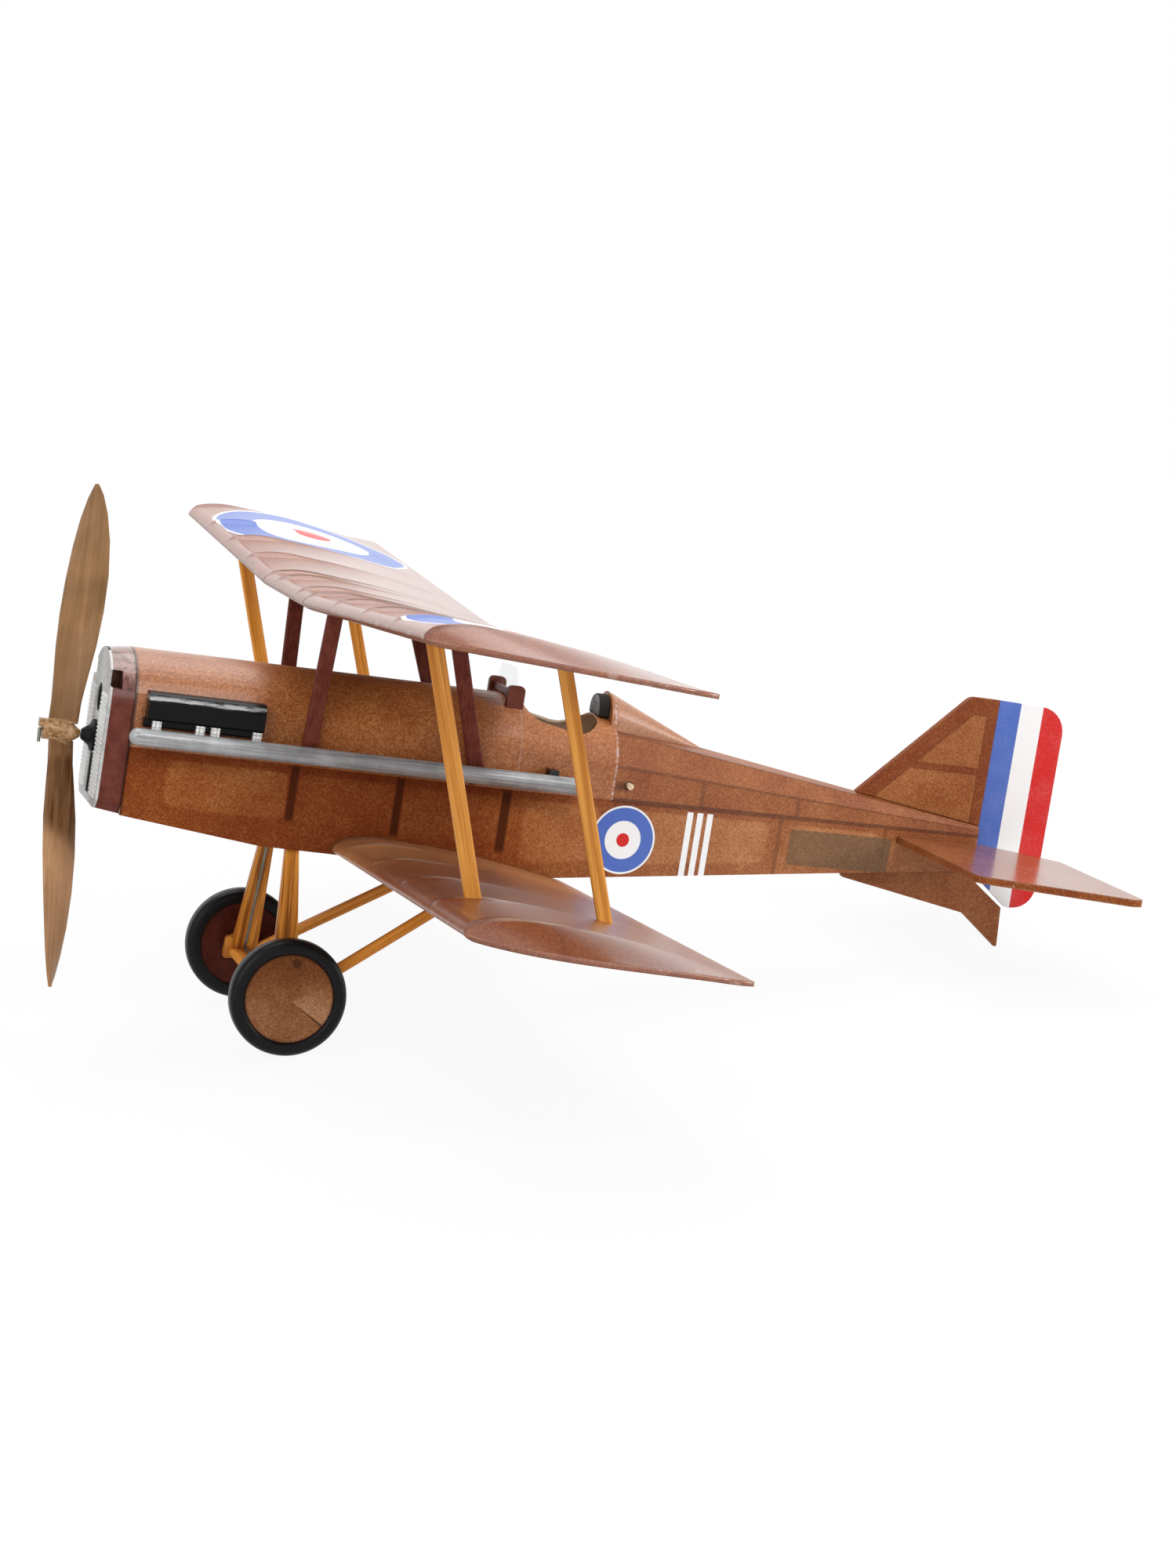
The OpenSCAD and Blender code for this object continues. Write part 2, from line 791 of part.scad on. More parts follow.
module spreader_bar() {
  color("goldenrod") difference() {
    along_y(-31, 31) translate([axle_x + 0.6, -axle_depth])
      polygon(rounded(box2(-4, 4, -axle_d / 2 - 2.8, -axle_d / 2), 1.2));
    both() front_leg();
  }
}

module axle() {
  translate([axle_x, 0, -axle_depth]) rotate([90, 0, 0])
    cylinder(h = wheel_track + 3.2, d = axle_d, center = true);
}

// Wire half sunk in the inner face of the front leg, running down into the axle
module leg_wire() {
  inner = [0, -leg_t / 2, 0];
  stick(leg_top + inner + [0, 0, -2.2], [axle_x, leg_foot[1] - 2.2, -axle_depth])
    circle(r = wire_r, $fn = 24);
}

module undercarriage_wire() {
  color("gray") {
    axle();
    both() leg_wire();
  }
}

// Wheels, drawn about the axle with y outward

tyre_in = 13.2;

module wheel_place() {
  translate([axle_x, wheel_track / 2, -axle_depth]) rotate([-90, 0, 0]) children();
}

module tyre() {
  wheel_place() rotate_extrude($fn = 72)
    polygon(rounded(box2(tyre_in, wheel_r, -tyre_w / 2, tyre_w / 2), [0.6, 2.4, 2.4, 1.2], 4));
}

module wheel_hub() {
  hub_in = -tyre_w / 2 - 0.1;
  wheel_place() difference() {
    union() {
      translate([0, 0, -tyre_w / 2 + 1]) cylinder(h = 1, r = tyre_in, $fn = 72);
      translate([0, 0, hub_in]) cylinder(h = 5.4, r = 1.6);
    }
    translate([0, 0, -10]) cylinder(h = 20, r = axle_d / 2 + running_gap);
  }
}

// Shallow paper cone over the outer side
module wheel_cover() {
  rim_h = tyre_w / 2 - 1.6;
  wheel_place() rotate_extrude($fn = 72)
    polygon([[tyre_in - 0.9, rim_h], [tyre_in, rim_h], [tyre_in, rim_h + 0.9], [0, rim_h + 4.2],
             [0, rim_h + 3.6], [tyre_in - 0.9, rim_h + 0.4]]);
}

module port_tyre() {
  color("black") tyre();
}

module port_wheel_hub() {
  color("maroon") wheel_hub();
}

module port_wheel_cover() {
  color("peru") wheel_cover();
}

module starboard_tyre() {
  color("black") starboard() tyre();
}

module starboard_wheel_hub() {
  color("maroon") starboard() wheel_hub();
}

module starboard_wheel_cover() {
  color("peru") starboard() wheel_cover();
}

// Tail

fin_base_x = -243.9;
fin_crest_x = -278.3;
fin_line = rounded([[tail_x, between(tail_x, rear_x, 22.4, tail_x, 3.5)], [tail_x, fin_top],
                    [fin_crest_x, fin_top], [fin_base_x, between(fin_base_x, rear_x, 22.4, tail_x, 3.5)]],
                   [0, 0, 4, 0]);

module fin_windows() {
  polygon(rounded([[tail_x + 3.6, 22], [tail_x + 3.6, fin_top - 5.4], [fin_crest_x + 1, fin_top - 7.4],
                   [fin_base_x - 19, 22]], 1.6));
  polygon(rounded([[tail_x + 3.6, 8.4], [tail_x + 3.6, 19.6], [fin_base_x - 17, 19.6],
                   [fin_base_x - 10.5, 14.4]], 1.6));
}

module fin_frame() {
  color("burlywood") difference() {
    along_y(-sheet / 2, sheet / 2) difference() {
      polygon(fin_line);
      fin_windows();
    }
    deck_block();
  }
}

module fin_tissue() {
  color("sienna") difference() {
    both() along_y(sheet / 2, sheet / 2 + tissue) polygon(fin_line);
    deck_block();
  }
}

rudder_te = tail_x - rudder_chord;
rudder_foot = -22.4;

module rudder() {
  color("white") along_y(-sheet / 2, sheet / 2)
    polygon(rounded([[tail_x, fin_top], [rudder_te, fin_top - 0.6], [rudder_te, rudder_foot + 1],
                     [tail_x - 14.5, rudder_foot], [tail_x, -tail_belly]], [0, 8.5, 7.5, 2, 0], 7));
}

tailplane_le = -259;
tailplane_te = -308.8;
elevator_in = 22;

function tailplane_line() =
  let (y1 = tailplane_span / 2)
  rounded([[tailplane_le, 0], [tailplane_le, y1 - 13.5], [tailplane_te + 4, y1], [tailplane_te, y1 - 1.5],
           [tailplane_te, elevator_in], [tail_x, 2.2], [tail_x, 0]], [0, 4, 3, 1.5, 2, 0, 0]);

module tailplane_half(d0, d1) {
  translate([0, 0, tailplane_z + d0]) linear_extrude(d1 - d0) polygon(tailplane_line());
}

tailplane_bays = [[8, 26], [29, 47], [50, 65]];

module tailplane_frame() {
  color("burlywood") difference() {
    both() tailplane_half(-sheet / 2, sheet / 2);
    both() for (b = tailplane_bays) translate([0, 0, tailplane_z]) linear_extrude(big, center = true) {
      polygon(rounded([[-263, b[0]], [-263, b[1]], [-282, b[1]], [-282, b[0]]], 2));
      polygon(rounded([[-286, b[0] + 8], [-286, b[1]], [-304, b[1]], [-304, max(b[0], 24)]], 1));
    }
  }
}

module tailplane_tissue() {
  color("sienna") difference() {
    both() {
      tailplane_half(sheet / 2, sheet / 2 + tissue);
      tailplane_half(-sheet / 2 - tissue, -sheet / 2);
    }
    fuselage_plan();
  }
}

module tail_skid() {
  color("saddlebrown") difference() {
    along_y(-sheet / 2, sheet / 2)
      polygon(rounded([[-243.7, -18], [-288, -25.6], [skid_tip_x + 0.6, -skid_depth - 0.1],
                       [skid_tip_x - 0.2, -skid_depth + 0.1], [skid_tip_x + 0.6, -22.6], [-291, -15.4],
                       [tail_x, -tail_belly + 2], [-243.7, -10]],
                      [1, 1, 0, 0, 0.6, 2, 0, 0]));
    fuselage_block();
    along_y(-2, 2) polygon(box2(-340, tail_x, -tail_belly, 0));
    rudder();
  }
}

// Nose, propeller and motor

nose_hw = 17;
nose_face = -0.8;
seam_gap = 0.1;
bearing_r = 1.9;

function nose_ring(w, foot, spring, top) =
  concat([[w - 3, foot], [w, foot + 3]], [for (p = arch(w, 0, spring, top)) if (p[1] > 0) p],
         [[-w, foot + 3], [3 - w, foot]]);

front_ring = nose_ring(nose_hw, -19.4, deck_spring, deck_top - 0.8);

module face_openings(x0, x1) {
  along_x(x0, x1) {
    translate([0, 11.6]) polygon([for (i = [0 : 23]) [1.7 * cos(15 * i), 4 * sin(15 * i)]]);
    polygon(rounded(box2(-1.2, 1.2, -17, -5.4), 0.6, 3));
  }
}

// Square notch at each shoulder of the arch
module nose_notches() {
  both() translate([-3.4, 11.6, 16.8]) cube([6, 8, 4.8]);
}

// Block that closes the nose, with a plug behind it that seats in the front former
module nose_block() {
  color("brown") difference() {
    union() {
      loft([at_x(seam_x + seam_gap, nose_ring(hw, -nose_belly, deck_spring, deck_top)),
            at_x(nose_face, front_ring)]);
      along_x(seam_x - 6, seam_x + seam_gap) polygon(rounded(box2(-plug_w, plug_w, -plug_h, plug_h), 2));
    }
    translate([seam_x - 10, 0, 0]) rotate([0, 90, 0]) cylinder(h = 30, r = bearing_r);
    face_openings(-3, 0);
    nose_notches();
  }
}

module radiator_front() {
  color("gainsboro") difference() {
    along_x(nose_face, 0) polygon(front_ring);
    translate([-5, 0, 0]) rotate([0, 90, 0]) cylinder(h = 10, r = bearing_r);
    face_openings(-3, 1);
    nose_notches();
  }
}

// Black bush with a round flange and a nose cone, bored for the shaft
module thrust_bearing() {
  color("black") translate([seam_x - 6, 0, 0]) rotate([0, 90, 0]) rotate_extrude()
    polygon([[shaft_d / 2 + running_gap, 0], [bearing_r, 0], [bearing_r, 6 - seam_x], [4.8, 6 - seam_x],
             [4.8, 6.9 - seam_x], [3.2, 7.6 - seam_x], [1.5, 10 - seam_x],
             [shaft_d / 2 + running_gap, 10 - seam_x]]);
}

hub_back = 5.2;
hub_fore = 5.9;
hub_r = 2.8;
blade_sweep = 3.6;
blade_stations = [0.03, 0.12, 0.22, 0.34, 0.48, 0.62, 0.76, 0.87, 0.95, 0.99, 1];
blade_shape = [[0, 0.56], [0.12, 0.57], [0.2, 0.62], [0.26, 0.7], [0.385, 0.83], [0.5, 0.95], [0.62, 1],
               [0.72, 0.99], [0.84, 0.84], [0.935, 0.54], [0.98, 0.28], [1, 0.1]];

// Section of the upper blade at radius r, turned to the blade's pitch and bowed back towards the tip
function blade_ring(v) =
  let (r = v * propeller_d / 2, w = blade_w * lookup(v, blade_shape), t = 2.6 - 1.6 * v,
       turn = min(62, atan(blade_pitch / (2 * PI * r))),
       x = hub_x - blade_sweep * pow(sin(90 * min(1, v / 0.85)), 1.3))
  [for (i = [0 : 13])
    let (a = 360 * i / 14, c = w / 2 * cos(a),
         b = t / 2 * sin(a) * (1 + 0.3 * cos(a)) + t * 0.25 * pow(sin(a / 2), 2))
    [x + c * sin(turn) + b * cos(turn), -c * cos(turn) + b * sin(turn), r]];

module propeller_turn() {
  rotate([rest_turn, 0, 0]) children();
}

// Two blades on a long hub that narrows towards the bearing, with a saddle strip along its top
module propeller() {
  color("tan") propeller_turn() difference() {
    union() {
      for (k = [0, 180]) rotate([k, 0, 0]) loft([for (v = blade_stations) blade_ring(v)]);
      translate([hub_x - hub_back, 0, 0]) rotate([0, 90, 0]) {
        cylinder(h = 2.4, r1 = 1.1, r2 = hub_r);
        translate([0, 0, 2.3]) cylinder(h = hub_back + hub_fore - 2.3, r = hub_r);
      }
      rotate([-rest_turn, 0, 0]) translate([hub_x - 2, -1.3, 0.9]) cube([9.1, 2.6, 2.4]);
    }
    translate([hub_x - 10, 0, 0]) rotate([0, 90, 0]) cylinder(h = 20, r = shaft_d / 2);
  }
}

// Wire shaft: bent over in front of the hub, and a round hook for the rubber behind the plug
module propeller_shaft() {
  front = hub_x + hub_fore + 0.8;
  color("gray") propeller_turn() {
    translate([hook_x + hook_r, 0, 0]) rotate([0, 90, 0])
      cylinder(h = front - hook_x - hook_r, d = shaft_d);
    translate([front, 0, 0]) sphere(d = shaft_d);
    translate([front, 0, -3.8]) cylinder(h = 3.8, d = shaft_d);
    rotate([-rest_turn, 0, 0]) translate([hook_x, 0, 0]) rotate_extrude(angle = 300)
      translate([hook_r, 0]) circle(d = shaft_d, $fn = 24);
  }
}

module motor_peg() {
  color("wheat") translate([peg_x, 0, peg_z]) rotate([90, 0, 0])
    cylinder(h = peg_l, r = peg_r, center = true);
}

// Outline round two circles, as a belt lies on two pulleys
function belt(p, rp, q, rq, steps = 10) =
  let (way = atan2(q[1] - p[1], q[0] - p[0]), lean = acos((rp - rq) / norm(q - p)))
  concat([for (i = [0 : steps]) p + rp * [cos(way + lean + (360 - 2 * lean) * i / steps),
                                         sin(way + lean + (360 - 2 * lean) * i / steps)]],
         [for (i = [0 : steps]) q + rq * [cos(way - lean + 2 * lean * i / steps),
                                         sin(way - lean + 2 * lean * i / steps)]]);

// Loop of flat rubber from the shaft's hook to the peg
module rubber_motor() {
  p = [peg_x, peg_z];
  q = [hook_x - hook_r, 0];
  strand = 0.9;
  color("khaki") along_y(-1.1, 1.1) difference() {
    polygon(belt(p, peg_r + 0.3 + strand, q, shaft_d / 2 + hook_gap + strand));
    polygon(belt(p, peg_r + 0.3, q, shaft_d / 2 + hook_gap));
  }
}

craft() port_side_frame();
craft() starboard_side_frame();
craft() formers();
craft() rear_stringers();
craft() port_side_tissue();
craft() starboard_side_tissue();
craft() belly_tissue();
craft() turtledeck_tissue();
craft() front_deck();
craft() cockpit_coaming();
craft() headrest_pad();
craft() headrest_fairing();
craft() windscreen();
craft() windscreen_brackets();
craft() port_manifold();
craft() starboard_manifold();
craft() exhaust_stubs();
craft() port_exhaust_pipe();
craft() starboard_exhaust_pipe();
craft() pipe_brackets();
craft() upper_wing_ribs();
craft() upper_wing_spars();
craft() upper_wing_tips();
craft() upper_centre_tissue();
craft() port_upper_tissue();
craft() starboard_upper_tissue();
craft() lower_wing_ribs();
craft() lower_wing_spars();
craft() lower_wing_tips();
craft() port_lower_tissue();
craft() starboard_lower_tissue();
craft() port_interplane_struts();
craft() starboard_interplane_struts();
craft() port_cabane_struts();
craft() starboard_cabane_struts();
craft() port_undercarriage_legs();
craft() starboard_undercarriage_legs();
craft() spreader_bar();
craft() undercarriage_wire();
craft() fin_frame();
craft() fin_tissue();
craft() rudder();
craft() tailplane_frame();
craft() tailplane_tissue();
craft() tail_skid();
craft() nose_block();
craft() radiator_front();
craft() thrust_bearing();
craft() propeller();
craft() propeller_shaft();
craft() port_tyre();
craft() port_wheel_hub();
craft() port_wheel_cover();
craft() starboard_tyre();
craft() starboard_wheel_hub();
craft() starboard_wheel_cover();
craft() motor_peg();
craft() rubber_motor();
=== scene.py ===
import math

import bmesh
import bpy
from mathutils import Matrix, Vector


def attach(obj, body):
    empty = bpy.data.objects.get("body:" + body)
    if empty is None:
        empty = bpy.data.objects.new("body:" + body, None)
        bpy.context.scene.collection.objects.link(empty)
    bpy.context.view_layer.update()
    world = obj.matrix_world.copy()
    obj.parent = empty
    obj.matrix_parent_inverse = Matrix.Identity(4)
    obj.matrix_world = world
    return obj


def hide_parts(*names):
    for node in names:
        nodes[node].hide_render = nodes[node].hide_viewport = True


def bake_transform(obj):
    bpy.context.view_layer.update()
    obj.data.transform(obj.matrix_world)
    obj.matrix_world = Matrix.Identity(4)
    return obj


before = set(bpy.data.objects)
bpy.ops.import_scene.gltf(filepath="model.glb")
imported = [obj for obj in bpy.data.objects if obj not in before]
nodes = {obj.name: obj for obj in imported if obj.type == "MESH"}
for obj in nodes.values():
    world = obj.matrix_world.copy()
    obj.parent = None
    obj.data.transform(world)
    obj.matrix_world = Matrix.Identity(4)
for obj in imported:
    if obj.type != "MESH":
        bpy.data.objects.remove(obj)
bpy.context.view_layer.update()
scene = bpy.context.scene

# Aircraft axes in millimetres: x forward from the radiator face, y to port,
# z up from the thrust line
stand = {"attitude": math.radians(11.2836), "middle": 145.0, "lift": 93.7676}


def at(x, y, z):
    c, s = math.cos(stand["attitude"]), math.sin(stand["attitude"])
    return Vector((x * c - z * s + stand["middle"], y, x * s + z * c + stand["lift"])) / 1000


print("stage: camera")
view = {
    "place": (0.270707, 0.939517, 0.253775),
    "right": (-0.957539, 0.286388, -0.033179),
    "up": (-0.081745, -0.159335, 0.983834),
    "ahead": (-0.276472, -0.944772, -0.175980),
    "lens": 73.5,
    "shift": (0.0069, -0.02578),
}
cameraData = bpy.data.cameras.new("camera")
cameraData.lens = view["lens"]
cameraData.sensor_width = 36.0
cameraData.shift_x, cameraData.shift_y = view["shift"]
cameraData.clip_start = 0.01
camera = bpy.data.objects.new("camera", cameraData)
scene.collection.objects.link(camera)
facing = Matrix((view["right"], view["up"], [-v for v in view["ahead"]])).transposed().to_4x4()
camera.matrix_world = Matrix.Translation(view["place"]) @ facing
scene.camera = camera
scene.view_settings.view_transform = "Standard"
scene.view_settings.look = "None"


# A shader socket that can be used in Python expressions
class Value:
    def __init__(self, shade, socket):
        self.shade, self.socket = shade, socket

    def __add__(self, other):
        return self.shade.math("ADD", self, other)

    def __sub__(self, other):
        return self.shade.math("SUBTRACT", self, other)

    def __rsub__(self, other):
        return self.shade.math("SUBTRACT", other, self)

    def __mul__(self, other):
        return self.shade.math("MULTIPLY", self, other)

    def __truediv__(self, other):
        return self.shade.math("DIVIDE", self, other)

    def __abs__(self):
        return self.shade.math("ABSOLUTE", self)

    def __neg__(self):
        return self.shade.math("MULTIPLY", self, -1.0)

    __radd__ = __add__
    __rmul__ = __mul__


# The node tree of one material or of the world, built up from expressions
class Shade:
    def __init__(self, owner):
        owner.use_nodes = True
        self.owner, self.tree = owner, owner.node_tree
        self.tree.nodes.clear()

    def add(self, kind, settings=None, inputs=None, output=0):
        node = self.tree.nodes.new("ShaderNode" + kind)
        for key, value in (settings or {}).items():
            if key == "stops":
                self.setStops(node.color_ramp, value)
            else:
                setattr(node, key, value)
        for key, value in (inputs or {}).items():
            socket = node.inputs[key]
            if isinstance(value, Value):
                self.tree.links.new(value.socket, socket)
            elif socket.type == "RGBA":
                socket.default_value = (*value, 1.0)
            else:
                socket.default_value = value
        return Value(self, node.outputs[output]) if node.outputs else None

    def setStops(self, ramp, stops):
        while len(ramp.elements) < len(stops):
            ramp.elements.new(1.0)
        for element, (place, colour) in zip(ramp.elements, stops):
            element.position = place
            element.color = (*colour, 1.0)

    def math(self, operation, a, b=0.0):
        return self.add("Math", {"operation": operation}, {0: a, 1: b})

    def mix(self, factor, a, b):
        settings = {"data_type": "RGBA", "clamp_factor": True}
        return self.add("Mix", settings, {0: factor, 6: a, 7: b}, 2)

    def tones(self, value, *stops):
        return self.add("ValToRGB", {"stops": stops}, {0: value})

    # Position in aircraft axes, millimetres
    def craft(self):
        where = self.add("TexCoord", output="Object")
        inputs = {
            "Vector": where,
            "Location": (stand["middle"] / 1000, 0.0, stand["lift"] / 1000),
            "Rotation": (0.0, -stand["attitude"], 0.0),
            "Scale": (0.001, 0.001, 0.001),
        }
        return self.add("Mapping", {"vector_type": "TEXTURE"}, inputs)

    def split(self, vector):
        first = self.add("SeparateXYZ", None, {0: vector})
        return [Value(self, socket) for socket in first.socket.node.outputs]

    def vector(self, operation, inputs, output=0):
        return self.add("VectorMath", {"operation": operation}, inputs, output)

    def noise(self, vector, scale, detail=3.0, rough=0.55):
        inputs = {"Vector": vector, "Scale": scale, "Detail": detail, "Roughness": rough}
        return self.add("TexNoise", None, inputs, "Fac")

    # Noise drawn out along an axis
    def streaks(self, vector, axis, across, down, detail=3.0, rough=0.55):
        axis = Vector(axis).normalized()
        run = self.vector("DOT_PRODUCT", {0: vector, 1: axis}, "Value")
        wide = self.vector("SCALE", {0: vector, "Scale": across})
        back = self.vector("SCALE", {0: axis, "Scale": run * (down - across)})
        return self.noise(self.vector("ADD", {0: wide, 1: back}), 1.0, detail, rough)

    # Crisp grains of random brightness, as in cork or speckled card
    def grains(self, vector, scale):
        inputs = {"Vector": vector, "Scale": scale}
        cells = self.add("TexVoronoi", {"feature": "F1"}, inputs, "Color")
        return self.add("SeparateColor", None, {0: cells})

    # 0 below low, 1 above high, smooth between
    def ramp(self, value, low, high):
        inputs = {"Value": value, "From Min": low, "From Max": high, "To Min": 0.0, "To Max": 1.0}
        return self.add("MapRange", {"interpolation_type": "SMOOTHSTEP"}, inputs)

    # 1 below low, 0 above high
    def fall(self, value, low, high):
        return 1.0 - self.ramp(value, low, high)

    # From 0 to 1 at one place
    def step(self, value, place, soft):
        return self.ramp(value, place - soft, place + soft)

    # 1 between low and high, with soft edges
    def band(self, value, low, high, soft):
        return self.step(value, low, soft) * (1.0 - self.step(value, high, soft))

    # 1 on each of a set of lines
    def lines(self, value, centres, half, soft):
        bands = [self.band(value, place - half, place + half, soft) for place in centres]
        return self.most(*bands)

    def length(self, a, b):
        return self.math("SQRT", a * a + b * b)

    def disc(self, a, b, radius, soft):
        return 1.0 - self.step(self.length(a, b), radius, soft)

    def most(self, *values):
        top = values[0]
        for value in values[1:]:
            top = self.math("MAXIMUM", top, value)
        return top

    # Surface shader, where the depth of the bump is in millimetres
    def surface(self, colour, rough, bump=None, depth=0.1, **settings):
        inputs = {"Base Color": colour, "Roughness": rough, "Specular IOR Level": 0.1}
        names = {
            "metal": "Metallic",
            "coat": "Coat Weight",
            "coatRough": "Coat Roughness",
            "specular": "Specular IOR Level",
            "alpha": "Alpha",
        }
        inputs.update({names[key]: value for key, value in settings.items()})
        if bump is not None:
            relief = {"Height": bump, "Distance": depth / 1000, "Strength": 1.0}
            inputs["Normal"] = self.add("Bump", None, relief)
        return self.add("BsdfPrincipled", None, inputs)

    def finish(self, *words, **settings):
        self.add("OutputMaterial", None, {0: self.surface(*words, **settings)})
        return self.owner


# Every material of the part by its name
materials = {}


def newShade(name):
    materials[name] = bpy.data.materials.new(name)
    shade = Shade(materials[name])
    return shade, shade.craft()


def placedShade(name):
    shade, where = newShade(name)
    return shade, where, *shade.split(where)


print("stage: materials")
flag = {"blue": (0.072, 0.135, 0.45), "white": (0.80, 0.80, 0.80), "red": (0.57, 0.017, 0.014)}
tissue = {
    "shadow": (0.110, 0.018, 0.004),
    "deep": (0.190, 0.041, 0.010),
    "warm": (0.278, 0.090, 0.024),
    "spark": (0.47, 0.205, 0.085),
    "ghost": (0.040, 0.009, 0.003),
}


def roundel(shade, colour, a, b, radius, rim, white, red):
    for size, tone in ((radius, "white"), (radius - rim, "blue"), (white, "white"), (red, "red")):
        colour = shade.mix(shade.disc(a, b, size, 0.12), colour, flag[tone])
    return colour


# Doped tissue: fine speckle over soft clouds, about 0 to 1
def fleck(shade, where):
    speck = shade.grains(where, 2.6)
    grit = shade.noise(where, 2.0, 3.0, 0.7)
    cloud = shade.noise(where, 0.07, 4.0, 0.6)
    return speck * 0.26 + grit * 0.42 + cloud * 0.40 - 0.06


def tissueTones(shade, value):
    stops = ((0.10, "shadow"), (0.38, "deep"), (0.60, "warm"), (0.92, "spark"))
    return shade.tones(value, *[(place, tissue[key]) for place, key in stops])


sideLook = {
    # Belly line before and behind its bend: a station, its height and the slope
    "belly": ((-50.0, -25.24, 0.0088), (-141.0, -25.6, -0.0971)),
    # Openings in the balsa side: rear end, front end, sill's height above the belly, brightness
    "bays": (
        (-56.0, -19.6, 9.0, 0.14),
        (-88.5, -59.2, 9.0, 0.04),
        (-122.0, -91.7, 9.0, 0.05),
        (-155.0, -130.0, 5.0, 0.13),
        (-213.0, -162.0, 4.0, 0.13),
        (-252.0, -221.0, 4.0, 0.11),
    ),
    "bayTop": -2.1, "corner": 3.0,
    # Dark uprights: station, width and height of the foot; then the faint lines further aft
    "uprights": ((-57.6, 2.5, -16.5), (-90.1, 2.5, -17.5), (-123.6, 2.9, -19.0)),
    "frames": (-159.8, -216.8, -254.4),
    "stripes": (-185.3, -188.7, -192.1),
    "ring": (163.8, 11.7, 10.75, 0.6, 6.0, 2.15),
    "film": ((-257.0, -220.8), (-14.7, -3.4)),
}


def makeSideTissue():
    shade, where, x, y, z = placedShade("sideTissue")
    tone = fleck(shade, where)
    (frontX, frontZ, frontSlope), (bendX, bendZ, rearSlope) = sideLook["belly"]
    rear = shade.step(-x, -bendX, 0.2)
    ahead, behind = (x - frontX) * frontSlope + frontZ, (x - bendX) * rearSlope + bendZ
    belly = (1.0 - rear) * ahead + rear * behind
    glow, corner, top = 0.0, sideLook["corner"], sideLook["bayTop"]
    for x0, x1, sill, gain in sideLook["bays"]:
        across = shade.most(abs(x - (x0 + x1) / 2) - ((x1 - x0) / 2 - corner), 0.0)
        upright = shade.most(belly + (sill + corner) - z, z - (top - corner), 0.0)
        glow = shade.fall(shade.length(across, upright), 2.4, 3.7) * gain + glow
    # Painted shade darkens the covering beside the cockpit, under the wings, and painted sheen
    # makes it paler towards the tail
    aft = shade.ramp(-x, 118.0, 132.0) * 0.10 + shade.ramp(-x, 150.0, 230.0) * 0.10
    shadow = shade.band(x, -122.0, -57.0, 4.0) * 0.06
    longeron = shade.band(z, -2.0, 2.0, 0.5)
    colour = tissueTones(shade, tone + glow + aft - shadow - 0.055 - longeron * 0.08)
    dark = 0.0
    for centre, wide, foot in sideLook["uprights"]:
        line = shade.lines(x, (centre,), wide / 2, 0.35) * shade.band(z, foot, 0.5, 1.2)
        dark = shade.most(line, dark)
    dark = shade.most(shade.lines(x, sideLook["frames"], 0.7, 0.3) * 0.45, dark)
    edge = shade.band(z, -0.5, 0.7, 0.25) * shade.ramp(-x, 157.0, 158.0)
    # Painted shade in the gap against the nose block
    seam = shade.fall(-x, 7.6, 8.2)
    dark = shade.most(dark * (0.62 + tone * 0.4), edge * 0.55, seam * 0.8)
    colour = shade.mix(dark, colour, tissue["ghost"])
    a, b, *rings = sideLook["ring"]
    colour = roundel(shade, colour, x + a, z + b, *rings)
    stripes = shade.lines(x, sideLook["stripes"], 1.0, 0.1)
    colour = shade.mix(stripes * shade.fall(z, -1.2, -1.0), colour, flag["white"])
    length, height = sideLook["film"]
    patch = shade.band(x, *length, 0.15) * shade.band(z, *height, 0.15)
    film = shade.mix(shade.ramp(tone, 0.2, 0.8), (0.085, 0.050, 0.022), (0.165, 0.092, 0.043))
    colour = shade.mix(patch * 0.8, colour, film)
    rough = 0.44 + tone * 0.16 - patch * 0.14
    gloss = shade.ramp(-x, 125.0, 190.0) * 0.55
    relief = tone * 0.5 - glow * 2.0
    return shade.finish(colour, rough, relief, 0.14, coat=gloss, coatRough=0.34, specular=0.04)


def makeTissue(name, lines=None, coat=0.05, coatRough=0.3, lift=0.0):
    shade, where = newShade(name)
    tone = fleck(shade, where)
    panel, dark = lines(shade, where) if lines else (lift, 0.0)
    colour = tissueTones(shade, tone + panel)
    colour = shade.mix(dark, colour, tissue["ghost"])
    return shade.finish(colour, 0.42 + tone * 0.16, tone, 0.07, coat=coat, coatRough=coatRough)


turtleLook = {
    # Front end and foot, length to the tail, height in front and how much of it is lost on the way
    "start": (-158.4, 0.5), "length": 129.9, "height": 21.9, "fall": 18.9,
    "formers": (-188.5, -222.0), "stringers": ((0.45, 0.50), (0.90, 0.94)),
    # Headrest fairing: front end, narrowing, and the glue on each side of its foot
    "fairing": (-156.6, 0.2246), "glue": (7.8, 9.0),
}


# Turtledeck: formers and stringers show as darker lines, the panels between them as lighter fields
def turtleLines(shade, where):
    x, y, z = shade.split(where)
    front, low = turtleLook["start"]
    run = (x - front) / -turtleLook["length"]
    up = (z - low) / (turtleLook["height"] - run * turtleLook["fall"])
    formers = shade.lines(x, turtleLook["formers"], 0.7, 0.3)
    strings = shade.most(*[shade.band(up, *ends, 0.02) for ends in turtleLook["stringers"]])
    foot = shade.band(up, -0.1, 0.03, 0.015)
    # Painted shadow of the motor peg on the tissue beside it
    pegShadow = shade.band(x, -163.0, -157.5, 1.2) * shade.band(z, 3.8, 6.2, 0.6)
    formers = formers * shade.fall(up, 0.5, 0.56)
    fairing, narrow = turtleLook["fairing"]
    glue = shade.band(abs(y) - (x - fairing) * narrow, *turtleLook["glue"], 0.3)
    glue = glue * shade.fall(-x, 190.0, 194.0)
    return 0.05, shade.most(formers * 0.35, strings * 0.42, foot * 0.7, pegShadow * 0.6, glue * 0.6)


finLook = {
    # A point on the sloping front edge, and the way in from it
    "nose": (-243.9, 9.84), "slope": (-0.7117, -0.7023),
    "border": 5.0, "rib": (19.8, 21.8), "post": (284.3, 285.1), "top": 39.2,
}


